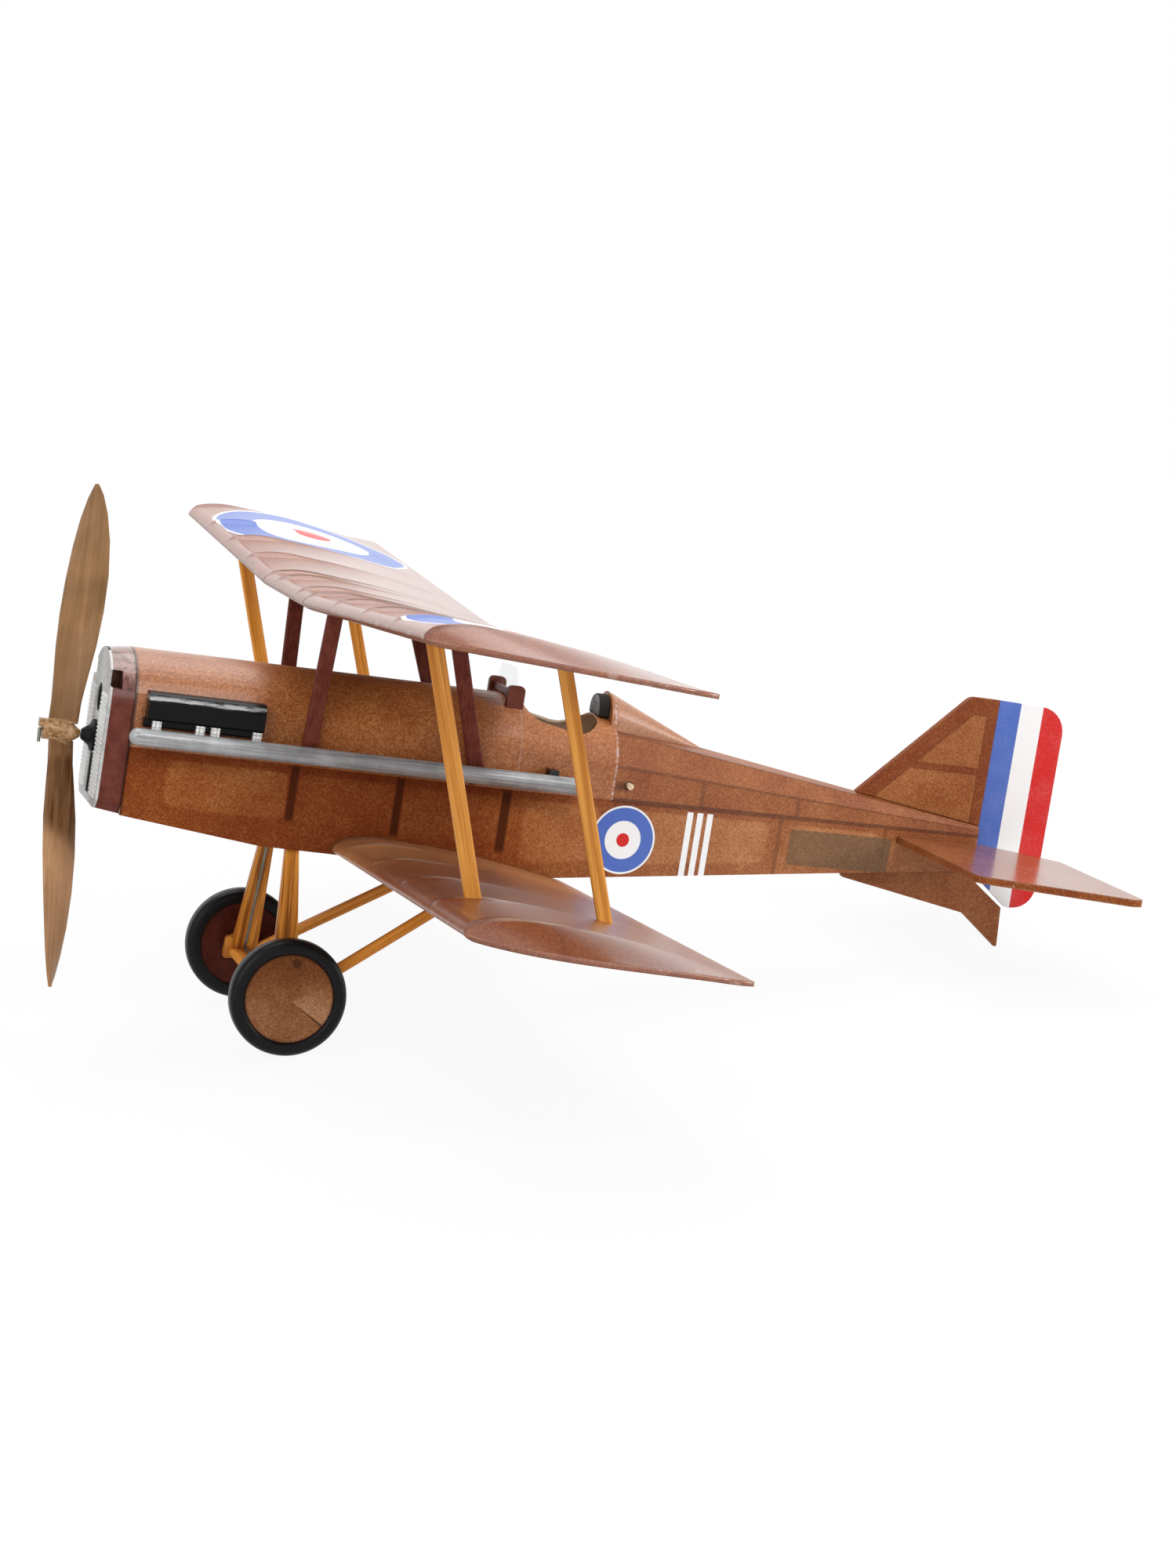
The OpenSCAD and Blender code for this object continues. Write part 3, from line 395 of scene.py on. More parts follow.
def finLines(shade, where):
    x, y, z = shade.split(where)
    (noseX, noseZ), (slopeX, slopeZ) = finLook["nose"], finLook["slope"]
    inside = (x - noseX) * slopeX + (z - noseZ) * slopeZ
    panel = shade.step(inside, finLook["border"], 0.5) * shade.fall(-x, *finLook["post"])
    panel = panel * (1.0 - shade.step(z, finLook["top"], 0.5))
    panel = panel * (1.0 - shade.band(z, *finLook["rib"], 0.35))
    return panel * 0.21 - 0.07, shade.most(panel * (1.0 - panel) * 1.6, 0.0)


tailLook = {"ribs": (27.6, 48.4), "spar": (-284.0,)}


def tailLines(shade, where):
    x, y, z = shade.split(where)
    ribs = shade.lines(abs(y), tailLook["ribs"], 0.6, 0.4)
    return 0.04, shade.most(ribs, shade.lines(x, tailLook["spar"], 0.8, 0.4)) * 0.35


# Bare edges of the tail surfaces: brown with pale spots where the tissue has worn through
def makeEdge():
    shade, where = newShade("wornEdge")
    tone = fleck(shade, where)
    worn = shade.ramp(shade.noise(where, 0.22, 5.0, 0.7), 0.60, 0.68)
    colour = shade.mix(worn * 0.75, tissueTones(shade, tone - 0.02), (0.55, 0.36, 0.20))
    return shade.finish(colour, 0.5 + tone * 0.15, tone, 0.08)


wing = {
    "chord": 73.0, "height": 6.2, "nose": 1.3, "tail": 0.9, "skin": 0.35, "halfSpan": 191.5,
    "tipChord": 68.5, "tipEdge": 1.4, "tipTurn": 0.74, "corner": 0.08, "cornerRun": (66.0, 7.0),
    "droop": {"upper": 0.0, "lower": 1.3}, "droopEnd": 64.0,
    "tipSteps": (0.06, 0.14, 0.23, 0.33, 0.44, 0.55, 0.66, 0.76, 0.85, 0.92, 0.97, 1.0),
    # Rows of points: their distances beside a rib, and the step between them further out
    "ribRows": (0.8, 1.6, 2.4), "rowStep": 2.2,
    # Body side at the lower wing's root: where it starts to narrow, by how much, over what length
    "bodyTaper": (-125.8, 17.1, 162.5),
    # lift: a tone shift over the whole panel, and painted light at the root that brightens the
    # lower wing's root out of the body's shade
    "upper": {
        "x": -50.0, "root": 29.6, "z": 48.2, "lift": (-0.06, 0.0), "haze": 0.21,
        "dihedral": math.radians(3.3), "tilt": math.radians(3.0),
    },
    "lower": {
        "x": -71.9, "root": 19.2, "z": -24.7, "lift": (-0.04, 0.6), "haze": 0.30,
        "dihedral": math.radians(2.9), "tilt": math.radians(1.9),
    },
    "upperRibs": (35.0, 70.0, 105.0, 140.6),
    "lowerRibs": (14.5, 45.4, 80.4, 115.4, 151.0),
    "centreRibs": (-15.4, 15.4, 29.6),
    "roundel": (87.0, 136.5, 34.3, 1.3, 20.4, 6.9),
}


# Doped tissue over ribs: faint lines on ribs and spar, worn pale edges, and roundels on top
def makeWing(name, key, roundels):
    shade, where, x, y, z = placedShade(name)
    panel = wing[key]
    tone = fleck(shade, where)
    c, span = panel["x"] - x, abs(y)
    offsets = [panel["root"] + s for s in wing[key + "Ribs"]]
    offsets += wing["centreRibs"][1:] if key == "upper" else ()
    lines = shade.lines(span, offsets, 0.5, 0.3)
    spar = shade.band(c, 24.0, 25.6, 0.5) * 0.14
    dark = shade.most(lines * 0.38, shade.band(c, 66.2, 66.9, 0.3) * 0.3, spar)
    # A tone shift over the panel, plus painted light that brightens the lower wing's root
    whole, root = panel["lift"]
    pale = shade.fall(span, 24.0, 85.0) * root + whole
    colour = shade.mix(dark, tissueTones(shade, tone + pale), tissue["ghost"])
    gloss = shade.ramp(c, 4.0, 22.0) * 0.3 + 0.7
    if key == "lower":
        # Pale line along the rib crests behind the leading edge: worn tissue and painted highlight
        crest = lines * shade.band(c, 8.0, 26.0, 4.0)
        colour = shade.mix(crest * 0.55, colour, (0.52, 0.34, 0.25))
        colour = shade.mix(shade.fall(span, 20.6, 21.6) * 0.55, colour, tissue["ghost"])
    if roundels:
        a, b, *rings = wing["roundel"]
        colour = roundel(shade, colour, x + a, span - b, *rings)
        gloss = gloss * (1.0 - shade.disc(x + a, span - b, rings[0], 0.2) * 0.6)
    elif key == "upper":
        gloss = 0.3
    worn = shade.ramp(shade.noise(where, 0.25, 5.0, 0.7), 0.52, 0.64)
    tip = shade.ramp(span, 184.0, 189.0)
    worn = worn * shade.most(shade.ramp(c, 72.0, 72.9), shade.fall(c, -0.2, 0.5), tip)
    colour = shade.mix(worn * 0.5, colour, (0.55, 0.42, 0.33))
    settings = {"coat": gloss, "coatRough": panel["haze"], "specular": 0.45}
    return shade.finish(colour, 0.38 + tone * 0.14, tone, 0.05, **settings)


cardLook = {"joints": (-125.8, -158.1), "seam": -7.4, "middle": 8.0, "bare": (0.84, 0.66, 0.50)}


# Speckled card, with pale glue at the joints and painted shade in the gap at the nose
def makeCard():
    shade, where, x, y, z = placedShade("card")
    speck, grit = shade.grains(where, 2.3), shade.noise(where, 1.9, 4.0, 0.75)
    cloud = shade.noise(where, 0.06)
    tone = speck * 0.28 + grit * 0.42 + cloud * 0.34 - 0.05
    colour = shade.tones(
        tone,
        (0.12, (0.15, 0.036, 0.008)),
        (0.40, (0.28, 0.082, 0.019)),
        (0.62, (0.44, 0.173, 0.060)),
        (0.95, (0.70, 0.38, 0.19)),
    )
    # Painted sheen: the headrest fairing is made a little paler than the deck
    colour = shade.mix(shade.ramp(-x, 158.6, 159.2) * 0.16, colour, (0.66, 0.45, 0.33))
    blobs = shade.noise(where, 0.8, 4.0, 0.7)
    first, second = cardLook["joints"]
    glue = shade.most(
        shade.lines(x, (first,), 0.25, 0.2) * 0.2,
        shade.lines(x, (second,), 0.5, 0.3) * shade.ramp(blobs, 0.42, 0.6) * 0.75,
    )
    colour = shade.mix(glue, colour, (0.56, 0.42, 0.38))
    # Painted shade in the gap against the nose block
    seam = shade.ramp(x, cardLook["seam"] - 0.9, cardLook["seam"] - 0.4)
    colour = shade.mix(seam * 0.8, colour, tissue["ghost"])
    # The card's inner side, which faces the middle of the body, is bare and pale
    normal = shade.add("TexCoord", output="Normal")
    outward = shade.add("CombineXYZ", None, {0: 0.0, 1: y, 2: z - cardLook["middle"]})
    inner = shade.ramp(-shade.vector("DOT_PRODUCT", {0: normal, 1: outward}, "Value"), 4.0, 8.0)
    colour = shade.mix(inner, colour, cardLook["bare"])
    gloss = shade.ramp(x, -54.0, -40.0) * 0.95 + shade.ramp(-x, 88.0, 130.0) * 0.75
    gloss = (gloss + shade.ramp(-x, 158.0, 160.0) * 0.25) * (1.0 - inner)
    return shade.finish(colour, 0.36 + grit * 0.15, tone, 0.10, coat=gloss, coatRough=0.36)


# Wood with long grain and dark pore lines
def grainColour(shade, where, axis, dark, light, line, scale=1.0, strength=0.6):
    figure = shade.streaks(where, axis, 0.75 * scale, 0.016 * scale, 5.0, 0.6)
    pores = shade.streaks(where, axis, 3.4 * scale, 0.045 * scale, 3.0, 0.6)
    colour = shade.mix(shade.ramp(figure, 0.34, 0.66), dark, light)
    return shade.mix(shade.ramp(pores, 0.56, 0.70) * strength, colour, line), pores


stain = {"dark": (0.53, 0.178, 0.020), "light": (0.80, 0.332, 0.056), "line": (0.20, 0.058, 0.006)}


def makeWood(name, axis, dark, light, line, rough=0.36, coat=0.2, scale=1.0, strength=0.6):
    shade, where = newShade(name)
    colour, pores = grainColour(shade, where, axis, dark, light, line, scale, strength)
    return shade.finish(colour, rough + pores * 0.16, pores, -0.06, coat=coat, coatRough=0.25)


def makeStain(name, axis, strength=0.45, tint=(1.0, 1.0, 1.0)):
    tones = [[v * t for v, t in zip(stain[key], tint)] for key in ("dark", "light", "line")]
    return makeWood(name, axis, *tones, strength=strength)


legLook = {
    "front": (0.0, 0.324, -0.946),
    "rear": (0.82, 0.18, -0.56),
    # Points behind this station are on the rear leg
    "split": -65.0,
}


# Legs: the grain of each runs along it, dark glue at both ends
def makeLegs():
    shade, where, x, y, z = placedShade("legWood")
    mirrored = shade.add("CombineXYZ", None, {0: x, 1: abs(y), 2: z})
    tones = (stain["dark"], stain["light"], stain["line"])
    front, pores = grainColour(shade, mirrored, legLook["front"], *tones, 0.8, 0.85)
    rear, _ = grainColour(shade, mirrored, legLook["rear"], *tones, 0.8, 0.7)
    behind = shade.step(-x, -legLook["split"], 0.5)
    colour = shade.mix(behind, front, rear)
    glue = shade.most(shade.fall(z, -68.6, -63.0), shade.ramp(z, -27.0, -24.0))
    burn = shade.streaks(mirrored, legLook["front"], 0.55, 0.02, 4.0)
    burn = shade.ramp(burn, 0.48, 0.62) * (1.0 - behind * 0.9)
    colour = shade.mix(shade.most(glue * 0.5, burn * 0.75), colour, (0.17, 0.036, 0.004))
    return shade.finish(colour, 0.34 + pores * 0.16, pores, -0.06, coat=0.2, coatRough=0.22)


# Brushed paint on wood: faint grain and brush lines
def makePaint(name, dark, light, axis=(0, 0, 1), rough=0.34, coat=0.15, grain=1.0):
    shade, where = newShade(name)
    brush = shade.streaks(where, axis, 2.2, 0.06, 4.0)
    cloud = shade.noise(where, 0.25, 4.0)
    share = 0.6 * grain
    colour = shade.mix(shade.ramp(brush * share + cloud * (1.0 - share), 0.34, 0.66), dark, light)
    return shade.finish(colour, rough + brush * 0.15, brush, 0.06 * grain, coat=coat, coatRough=0.2)


noseLook = {"gap": (-7.2, -6.7), "notch": (-3.48, 11.54, (16.7, 21.7))}


# Nose block: brick paint, smooth on the sides and pitted over the arch, with painted highlight over
# the top of the arch and painted shade in the gap behind
def makeNose():
    shade, where, x, y, z = placedShade("nosePaint")
    cloud = shade.noise(where, 0.3, 4.0)
    pits = shade.ramp(shade.noise(where, 1.1, 4.0, 0.7), 0.56, 0.66) * shade.ramp(z, 13.0, 16.0)
    colour = shade.mix(shade.ramp(cloud, 0.3, 0.7), (0.100, 0.022, 0.014), (0.150, 0.040, 0.027))
    # Painted highlight in patches over the top of the arch
    paintedTopHighlight = shade.ramp(z, 17.0, 21.5) * shade.ramp(cloud, 0.34, 0.6)
    colour = shade.mix(paintedTopHighlight * 0.55, colour, (0.45, 0.28, 0.24))
    colour = shade.mix(pits * 0.65, colour, (0.03, 0.006, 0.004))
    # Painted shade in the gap behind the block
    seam = shade.fall(x, *noseLook["gap"])
    colour = shade.mix(seam * 0.8, colour, (0.012, 0.003, 0.002))
    # Darker in the notch at each shoulder
    rear, inner, ends = noseLook["notch"]
    notch = shade.step(x, rear, 0.04) * shade.step(abs(y), inner, 0.04) * shade.band(z, *ends, 0.05)
    colour = shade.mix(notch * 0.9, colour, (0.030, 0.008, 0.005))
    gloss = shade.ramp(z, 11.0, 20.0) * (1.0 - notch)
    relief = cloud * 0.3 - pits
    return shade.finish(colour, 0.34 + cloud * 0.15, relief, 0.16, coat=gloss, coatRough=0.2)


def makeMetal(name, dark, light, rough, axis, metal=0.85, wear=0.4):
    shade, where = newShade(name)
    brush = shade.streaks(where, axis, 2.6, 0.035, 5.0, 0.65)
    cloud = shade.noise(where, 0.12, 4.0)
    tone = shade.mix(shade.ramp(brush * 0.65 + cloud * 0.35, 0.34, 0.66), dark, light)
    scratch = shade.ramp(shade.streaks(where, axis, 1.6, 0.2, 4.0, 0.7), 0.64, 0.72)
    tone = shade.mix(scratch * wear, tone, [v * 0.35 for v in dark])
    return shade.finish(tone, rough + brush * 0.2, brush, 0.05, metal=metal)


# Foil with a crossed emboss
def makeFoil():
    shade, where, x, y, z = placedShade("foil")
    ridge = shade.most(
        shade.ramp(shade.math("PINGPONG", x + 200.0, 0.65), 0.42, 0.6),
        shade.ramp(shade.math("PINGPONG", z + 200.0, 0.65), 0.42, 0.6),
    )
    crease = shade.noise(where, 1.2, 4.0)
    colour = shade.mix(ridge * 0.55, (0.80, 0.80, 0.79), (0.30, 0.30, 0.30))
    return shade.finish(colour, 0.24 + crease * 0.2, crease * 0.5 - ridge, 0.16, metal=0.7)


def makeBlack(name, tone, rough, coat, speck=0.5, specular=0.25):
    shade, where = newShade(name)
    grit = shade.noise(where, 1.8, 5.0, 0.7)
    dust = shade.ramp(shade.noise(where, 0.35, 4.0), 0.5, 0.75)
    colour = shade.mix(shade.ramp(grit, 0.35, 0.7), tone, [v * 2.2 + 0.003 for v in tone])
    settings = {"coat": coat, "coatRough": 0.12, "specular": specular}
    return shade.finish(colour, rough + dust * 0.12, grit, 0.05 * speck, **settings)


# Height band and waviness of the painted highlight streaks
manifoldLook = {"edge": (15.5, 16.7), "wave": 1.6}


# Gloss black box with painted highlight: pale uneven streaks along its rounded upper edge
def makeManifold():
    shade, where, x, y, z = placedShade("manifoldBlack")
    wave = shade.streaks(where, (1, 0, 0), 0.9, 0.16, 4.0, 0.6)
    low, high = manifoldLook["edge"]
    lift = (wave - 0.5) * manifoldLook["wave"]
    # Painted highlight along the upper edge
    streak = shade.band(z + lift, low, high, 0.35) * shade.ramp(wave, 0.36, 0.52)
    colour = shade.mix(streak * 0.9, (0.002, 0.002, 0.0025), (0.30, 0.305, 0.31))
    settings = {"coat": 0.2, "coatRough": 0.12, "specular": 0.05}
    return shade.finish(colour, 0.24 + wave * 0.1, wave, 0.3, **settings)


radiatorLook = {
    "hole": (11.6, 4.3), "slot": (3.1, 3.4), "slotEnds": (-17.2, -5.0), "well": (4.0, 4.6),
}


# Radiator front: silver paint, black in the hole and the slot
def makeRadiator():
    shade, where, x, y, z = placedShade("radiator")
    cloud, grit = shade.noise(where, 0.5, 4.0), shade.noise(where, 2.4, 4.0, 0.7)
    silver = shade.ramp(cloud * 0.6 + grit * 0.4, 0.3, 0.7)
    colour = shade.mix(silver, (0.38, 0.38, 0.37), (0.58, 0.58, 0.57))
    inside = shade.fall(x, -0.10, -0.04) * shade.fall(abs(y), *radiatorLook["well"])
    # The black of the hole and of the slot comes out a little over the face
    height, radius = radiatorLook["hole"]
    hole = shade.disc(y, z - height, radius, 0.15)
    slot = shade.fall(abs(y), *radiatorLook["slot"])
    slot = slot * shade.band(z, *radiatorLook["slotEnds"], 0.15)
    inside = shade.most(inside, hole, slot)
    colour = shade.mix(inside, colour, (0.004, 0.004, 0.004))
    return shade.finish(colour, 0.34 + grit * 0.2, grit, 0.05, metal=(1.0 - inside) * 0.35)


def makeSlats():
    shade, where = newShade("slats")
    grit = shade.noise(where, 1.4, 4.0, 0.7)
    chips = shade.streaks(where, (0, 0, 1), 1.6, 0.35, 4.0, 0.7)
    colour = shade.mix(shade.ramp(grit, 0.3, 0.7), (0.66, 0.66, 0.65), (0.84, 0.84, 0.83))
    colour = shade.mix(shade.ramp(chips, 0.60, 0.68) * 0.75, colour, (0.16, 0.16, 0.16))
    return shade.finish(colour, 0.36 + grit * 0.2, grit, 0.05, metal=0.15)


propLook = {
    "axis": (0, -0.276, 0.961), "root": (8.0, 36.0), "hub": 3.7,
    # The lower blade is darker from its root to a slanting line
    "lower": (-9.0, -3.0), "slant": (1.2, -46.0, -36.0),
}


# Blade: smooth olive tan with soft darker patches and a little long grain
def makePropeller():
    shade, where, x, y, z = placedShade("propeller")
    grain = shade.streaks(where, propLook["axis"], 0.5, 0.02, 4.0)
    pores = shade.streaks(where, propLook["axis"], 3.6, 0.06)
    smoke = shade.noise(where, 0.035)
    tone = grain * 0.35 + smoke * 0.65
    colour = shade.tones(
        tone,
        (0.34, (0.165, 0.082, 0.027)),
        (0.50, (0.30, 0.158, 0.068)),
        (0.66, (0.43, 0.235, 0.112)),
    )
    root = shade.fall(abs(z), *propLook["root"])
    lean, *ends = propLook["slant"]
    slantDark = shade.fall(z, *propLook["lower"]) * shade.ramp(z - y * lean, *ends)
    streak = shade.ramp(grain, 0.42, 0.62)
    darkPatches = shade.most(root * 0.45, slantDark * (0.55 + streak * 0.4))
    colour = shade.mix(darkPatches, colour, (0.085, 0.030, 0.008))
    hub = shade.disc(y, z, propLook["hub"], 0.4)
    stains = shade.noise(where, 0.9, 4.0, 0.7)
    tan = shade.mix(shade.ramp(stains, 0.35, 0.65), (0.24, 0.115, 0.035), (0.47, 0.29, 0.16))
    colour = shade.mix(hub, colour, tan)
    colour = shade.mix(shade.ramp(pores, 0.60, 0.72) * 0.22, colour, (0.13, 0.058, 0.020))
    return shade.finish(colour, 0.34 + pores * 0.16, pores, 0.03, coat=0.15, coatRough=0.28)


rudderBands = (296.2, 304.1)


# Blue, white and red bands along the tail post, on slightly uneven paper
def makeRudder():
    shade, where, x, y, z = placedShade("rudder")
    paper = shade.noise(where, 1.4, 5.0, 0.7)
    cloud = shade.noise(where, 0.1)
    first, second = rudderBands
    colour = shade.mix(shade.step(-x, first, 0.1), flag["blue"], flag["white"])
    colour = shade.mix(shade.step(-x, second, 0.1), colour, flag["red"])
    fade = shade.ramp(paper * 0.6 + cloud * 0.4, 0.4, 0.8) * 0.09
    colour = shade.mix(fade, colour, (0.9, 0.9, 0.92))
    return shade.finish(colour, 0.40 + paper * 0.15, paper, 0.03, coat=0.1, coatRough=0.3)


# fade: angles behind the seam over which the painted light fades out
coneLook = {"axle": (-61.0, -65.6), "seam": -2.55, "dot": (-0.65, 10.8, 1.35), "fade": (0.3, 2.3)}


# Speckled card cone: one radial seam, a soft dark dot near the rim, painted light on the sector
# behind the seam and painted shade over its upper part
def makeCone():
    shade, where, x, y, z = placedShade("coneCard")
    a, b = x - coneLook["axle"][0], z - coneLook["axle"][1]
    angle, radius = shade.math("ARCTAN2", b, a), shade.length(a, b)
    speck, grit = shade.grains(where, 2.3), shade.noise(where, 2.0, 4.0, 0.75)
    cloud = shade.noise(where, 0.12)
    # Painted light on the sector behind the seam, and painted shade over the upper part
    past = shade.math("FLOORED_MODULO", -(angle - coneLook["seam"]), 2 * math.pi)
    upper = shade.ramp(b, -6.0, 9.0)
    paintedLightAndShade = shade.fall(past, *coneLook["fade"]) * 0.22 - upper * 0.24 + 0.12
    tone = speck * 0.22 + grit * 0.40 + cloud * 0.26 + 0.04 + paintedLightAndShade
    colour = shade.tones(
        tone,
        (0.12, (0.09, 0.026, 0.007)),
        (0.40, (0.19, 0.062, 0.018)),
        (0.64, (0.32, 0.135, 0.054)),
        (0.95, (0.58, 0.32, 0.18)),
    )
    seam = shade.lines(angle, (coneLook["seam"],), 0.03, 0.02) * shade.ramp(radius, 0.2, 0.6)
    rim = shade.ramp(radius, 12.4, 13.2)
    dotA, dotB, size = coneLook["dot"]
    dot = shade.disc(a - dotA, b - dotB, size, 0.25)
    colour = shade.mix(shade.most(seam * 0.8, dot * 0.7, rim * 0.6), colour, (0.045, 0.013, 0.005))
    return shade.finish(colour, 0.44 + grit * 0.16, tone, 0.08)


def makeClear():
    shade, where = newShade("clearScreen")
    haze = shade.noise(where, 0.15, 2.0)
    shade.owner.surface_render_method = "BLENDED"
    rough, alpha = 0.10 + haze * 0.06, 0.06 + haze * 0.06
    return shade.finish((0.86, 0.88, 0.89), rough, specular=0.3, alpha=alpha)


padLook = {
    "x": (-156.6, -152.6), "half": 5.3, "spring": 25.6, "top": 30.9, "middle": 27.2,
    # The coaming under the pad: its height in the middle and how it falls away
    "foot": (24.5, 0.03),
    # Distance from the rear or front face, and share of the full outline
    "rearRows": ((0.0, 0.5), (0.0, 0.93), (0.25, 0.985), (0.8, 1.0)),
    "frontRows": (
        (1.2, 0.995), (0.75, 0.965), (0.42, 0.90), (0.18, 0.78), (0.04, 0.55), (0.0, 0.25),
    ),
}


# Felt: grey nap on the front, black on the cut sides
def makeFelt():
    shade, where, x, y, z = placedShade("felt")
    nap = shade.noise(where, 3.2, 5.0, 0.75)
    wear = shade.noise(where, 0.5, 4.0)
    front = shade.ramp(x, padLook["x"][1] - 0.7, padLook["x"][1] - 0.2)
    worn = shade.ramp(nap * 0.7 + wear * 0.3, 0.35, 0.7)
    face = shade.mix(worn, (0.10, 0.10, 0.105), (0.38, 0.385, 0.39))
    colour = shade.mix(front, shade.mix(nap, (0.008, 0.007, 0.0065), (0.042, 0.036, 0.034)), face)
    return shade.finish(colour, 0.78 + nap * 0.12, nap, 0.18, specular=0.15)


def makeRubber():
    shade, where = newShade("rubber")
    grit = shade.noise(where, 1.5, 4.0)
    colour = shade.mix(shade.ramp(grit, 0.35, 0.7), (0.30, 0.20, 0.09), (0.45, 0.32, 0.16))
    return shade.finish(colour, 0.55 + grit * 0.15, grit, 0.05)


balsaTones = ((0.40, 0.26, 0.14), (0.60, 0.43, 0.26), (0.28, 0.16, 0.08))
dowelTones = ((0.62, 0.47, 0.30), (0.78, 0.62, 0.43), (0.40, 0.26, 0.14))
strutWay = (0.303, 0, 0.953)


def pair(name):
    return "port_" + name, "starboard_" + name


# Each material, and the nodes that wear it
dress = (
    (makeSideTissue(), *pair("side_tissue")),
    (makeTissue("bodyTissue"), "belly_tissue"),
    (makeTissue("turtleTissue", turtleLines, 0.55, 0.32), "turtledeck_tissue"),
    (makeTissue("skidTissue", None, 0.3, lift=0.10), "tail_skid"),
    (makeTissue("finTissue", finLines, 0.15), "fin_tissue"),
    (makeTissue("tailTissue", tailLines, 1.0, 0.2), "tailplane_tissue"),
    (makeEdge(), "fin_frame", "tailplane_frame"),
    (
        makeWing("upperTop", "upper", True),
        "upper_wing_tips", "upper_centre_tissue", *pair("upper_tissue"),
    ),
    (makeWing("upperUnder", "upper", False),),
    (makeWing("lowerTop", "lower", False), "lower_wing_tips", *pair("lower_tissue")),
    (makeCard(), "front_deck", "cockpit_coaming", "headrest_fairing"),
    (makeStain("strutWood", strutWay, 0.62, (1.0, 1.10, 1.3)), "port_interplane_struts"),
    # The starboard struts get a lighter copy of the stain: painted light, as they stand in the
    # body's shade
    (makeStain("paintedLightStrutWood", strutWay, 0.3, (1.25, 1.32, 1.5)), "starboard_interplane_struts"),
    (makeLegs(), *pair("undercarriage_legs")),
    (makeStain("spreaderWood", (0, 1, 0)), "spreader_bar"),
    (
        makePaint("maroon", (0.100, 0.019, 0.011), (0.185, 0.044, 0.027), (0.2, 0, 1), coat=0.1),
        *pair("cabane_struts"),
    ),
    (
        makePaint("bracketPaint", (0.095, 0.020, 0.010), (0.15, 0.038, 0.022), grain=0.3),
        "windscreen_brackets",
    ),
    (makeNose(), "nose_block"),
    (
        makePaint("hubPaint", (0.052, 0.010, 0.005), (0.090, 0.018, 0.010), coat=0.0, grain=0.4),
        *pair("wheel_hub"),
    ),
    (makeBlack("glossBlack", (0.0012, 0.0012, 0.0014), 0.16, 0.85, specular=0.0), "pipe_brackets"),
    (makeManifold(), *pair("manifold")),
    (makeBlack("bearingBlack", (0.003, 0.003, 0.003), 0.5, 0.0, 1.5, 0.15), "thrust_bearing"),
    (makeBlack("tyreBlack", (0.0030, 0.0028, 0.0032), 0.36, 0.0, specular=0.15), *pair("tyre")),
    (
        makeMetal("pipe", (0.205, 0.208, 0.216), (0.45, 0.456, 0.466), 0.32, (1, 0, 0), 0.35, 0.5),
        *pair("exhaust_pipe"),
    ),
    (makeFoil(), "exhaust_stubs"),
    (
        makeMetal("wire", (0.12, 0.115, 0.10), (0.26, 0.25, 0.22), 0.3, (0, 1, 0), 0.9, 0.2),
        "undercarriage_wire", "propeller_shaft",
    ),
    (makeRadiator(), "radiator_front"),
    (makeSlats(),),
    (makePropeller(), "propeller"),
    (makeRudder(), "rudder"),
    (makeCone(), *pair("wheel_cover")),
    (makeClear(), "windscreen"),
    (makeFelt(), "headrest_pad"),
    (
        makeWood("balsa", (1, 0, 0), *balsaTones, rough=0.62, coat=0.0),
        *pair("side_frame"), "formers", "rear_stringers",
        "upper_wing_ribs", "upper_wing_spars", "lower_wing_ribs", "lower_wing_spars",
    ),
    (makeWood("dowel", (0, 1, 0), *dowelTones, rough=0.5, coat=0.0), "motor_peg"),
    (makeRubber(), "rubber_motor"),
)
for material, *members in dress:
    for member in members:
        nodes[member].data.materials.clear()
        nodes[member].data.materials.append(material)


# One mesh piece from points in aircraft axes
def build(name, points, faces, looks, body, replaced=(), index=None, smooth=True):
    mesh = bpy.data.meshes.new(name)
    mesh.from_pydata([at(*p) for p in points], [], faces)
    for look in looks:
        mesh.materials.append(materials[look])
    for number, face in enumerate(mesh.polygons):
        face.use_smooth = smooth
        if index:
            face.material_index = index[number]
    tidy = bmesh.new()
    tidy.from_mesh(mesh)
    bmesh.ops.remove_doubles(tidy, verts=tidy.verts, dist=1e-6)
    bmesh.ops.recalc_face_normals(tidy, faces=tidy.faces)
    tidy.to_mesh(mesh)
    tidy.free()
    mesh.validate()
    piece = bpy.data.objects.new(name, mesh)
    scene.collection.objects.link(piece)
    if body:
        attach(piece, body)
    if replaced:
        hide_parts(*replaced)
    return piece


# Faces between rows of points that go round
def ringFaces(rows, cols):
    faces = []
    for first in range(0, (rows - 1) * cols, cols):
        for c in range(cols):
            here, beside = first + c, first + (c + 1) % cols
            faces.append((here, beside, beside + cols, here + cols))
    return faces


def smoothstep(low, high, value):
    t = min(1.0, max(0.0, (value - low) / (high - low)))
    return t * t * (3 - 2 * t)


print("stage: wings")
sag = {
    "upper": (2.3, 2.3, 2.2, 0.5), "lower": (0.9, 1.1, 1.1, 1.0, 0.9), "centre": (2.1, 2.1, 2.1),
    "start": (2.8, 5.2), "fade": (14.0, 50.0), "keep": 0.25, "end": (62.0, 67.0),
    "under": 0.3, "underStart": (3.0, 14.0), "underEnd": (54.0, 66.0), "fullBay": 28.0,
    # Ridge that each rib raises behind the leading edge
    "ridge": 0.6, "narrow": 1.2, "ridgeStart": (0.2, 2.4), "ridgeEnd": (9.0, 24.0),
}


# Thickness of the rib section at a share of the chord, before it is scaled
def bulge(u):
    return 10 * (0.2969 * math.sqrt(u) - 0.126 * u - 0.3516 * u**2 + 0.2843 * u**3 - 0.1036 * u**4)


# Top of the bare rib
def topAt(u):
    base = wing["nose"] * (1 - u) + wing["tail"] * u
    return base + (wing["height"] - 0.8 * wing["nose"]) * bulge(u)


# Underside of the bare rib: flat, and rounded up at the nose
def underAt(u):
    return wing["nose"] * (1 - math.sqrt(min(1.0, u / 0.06)))


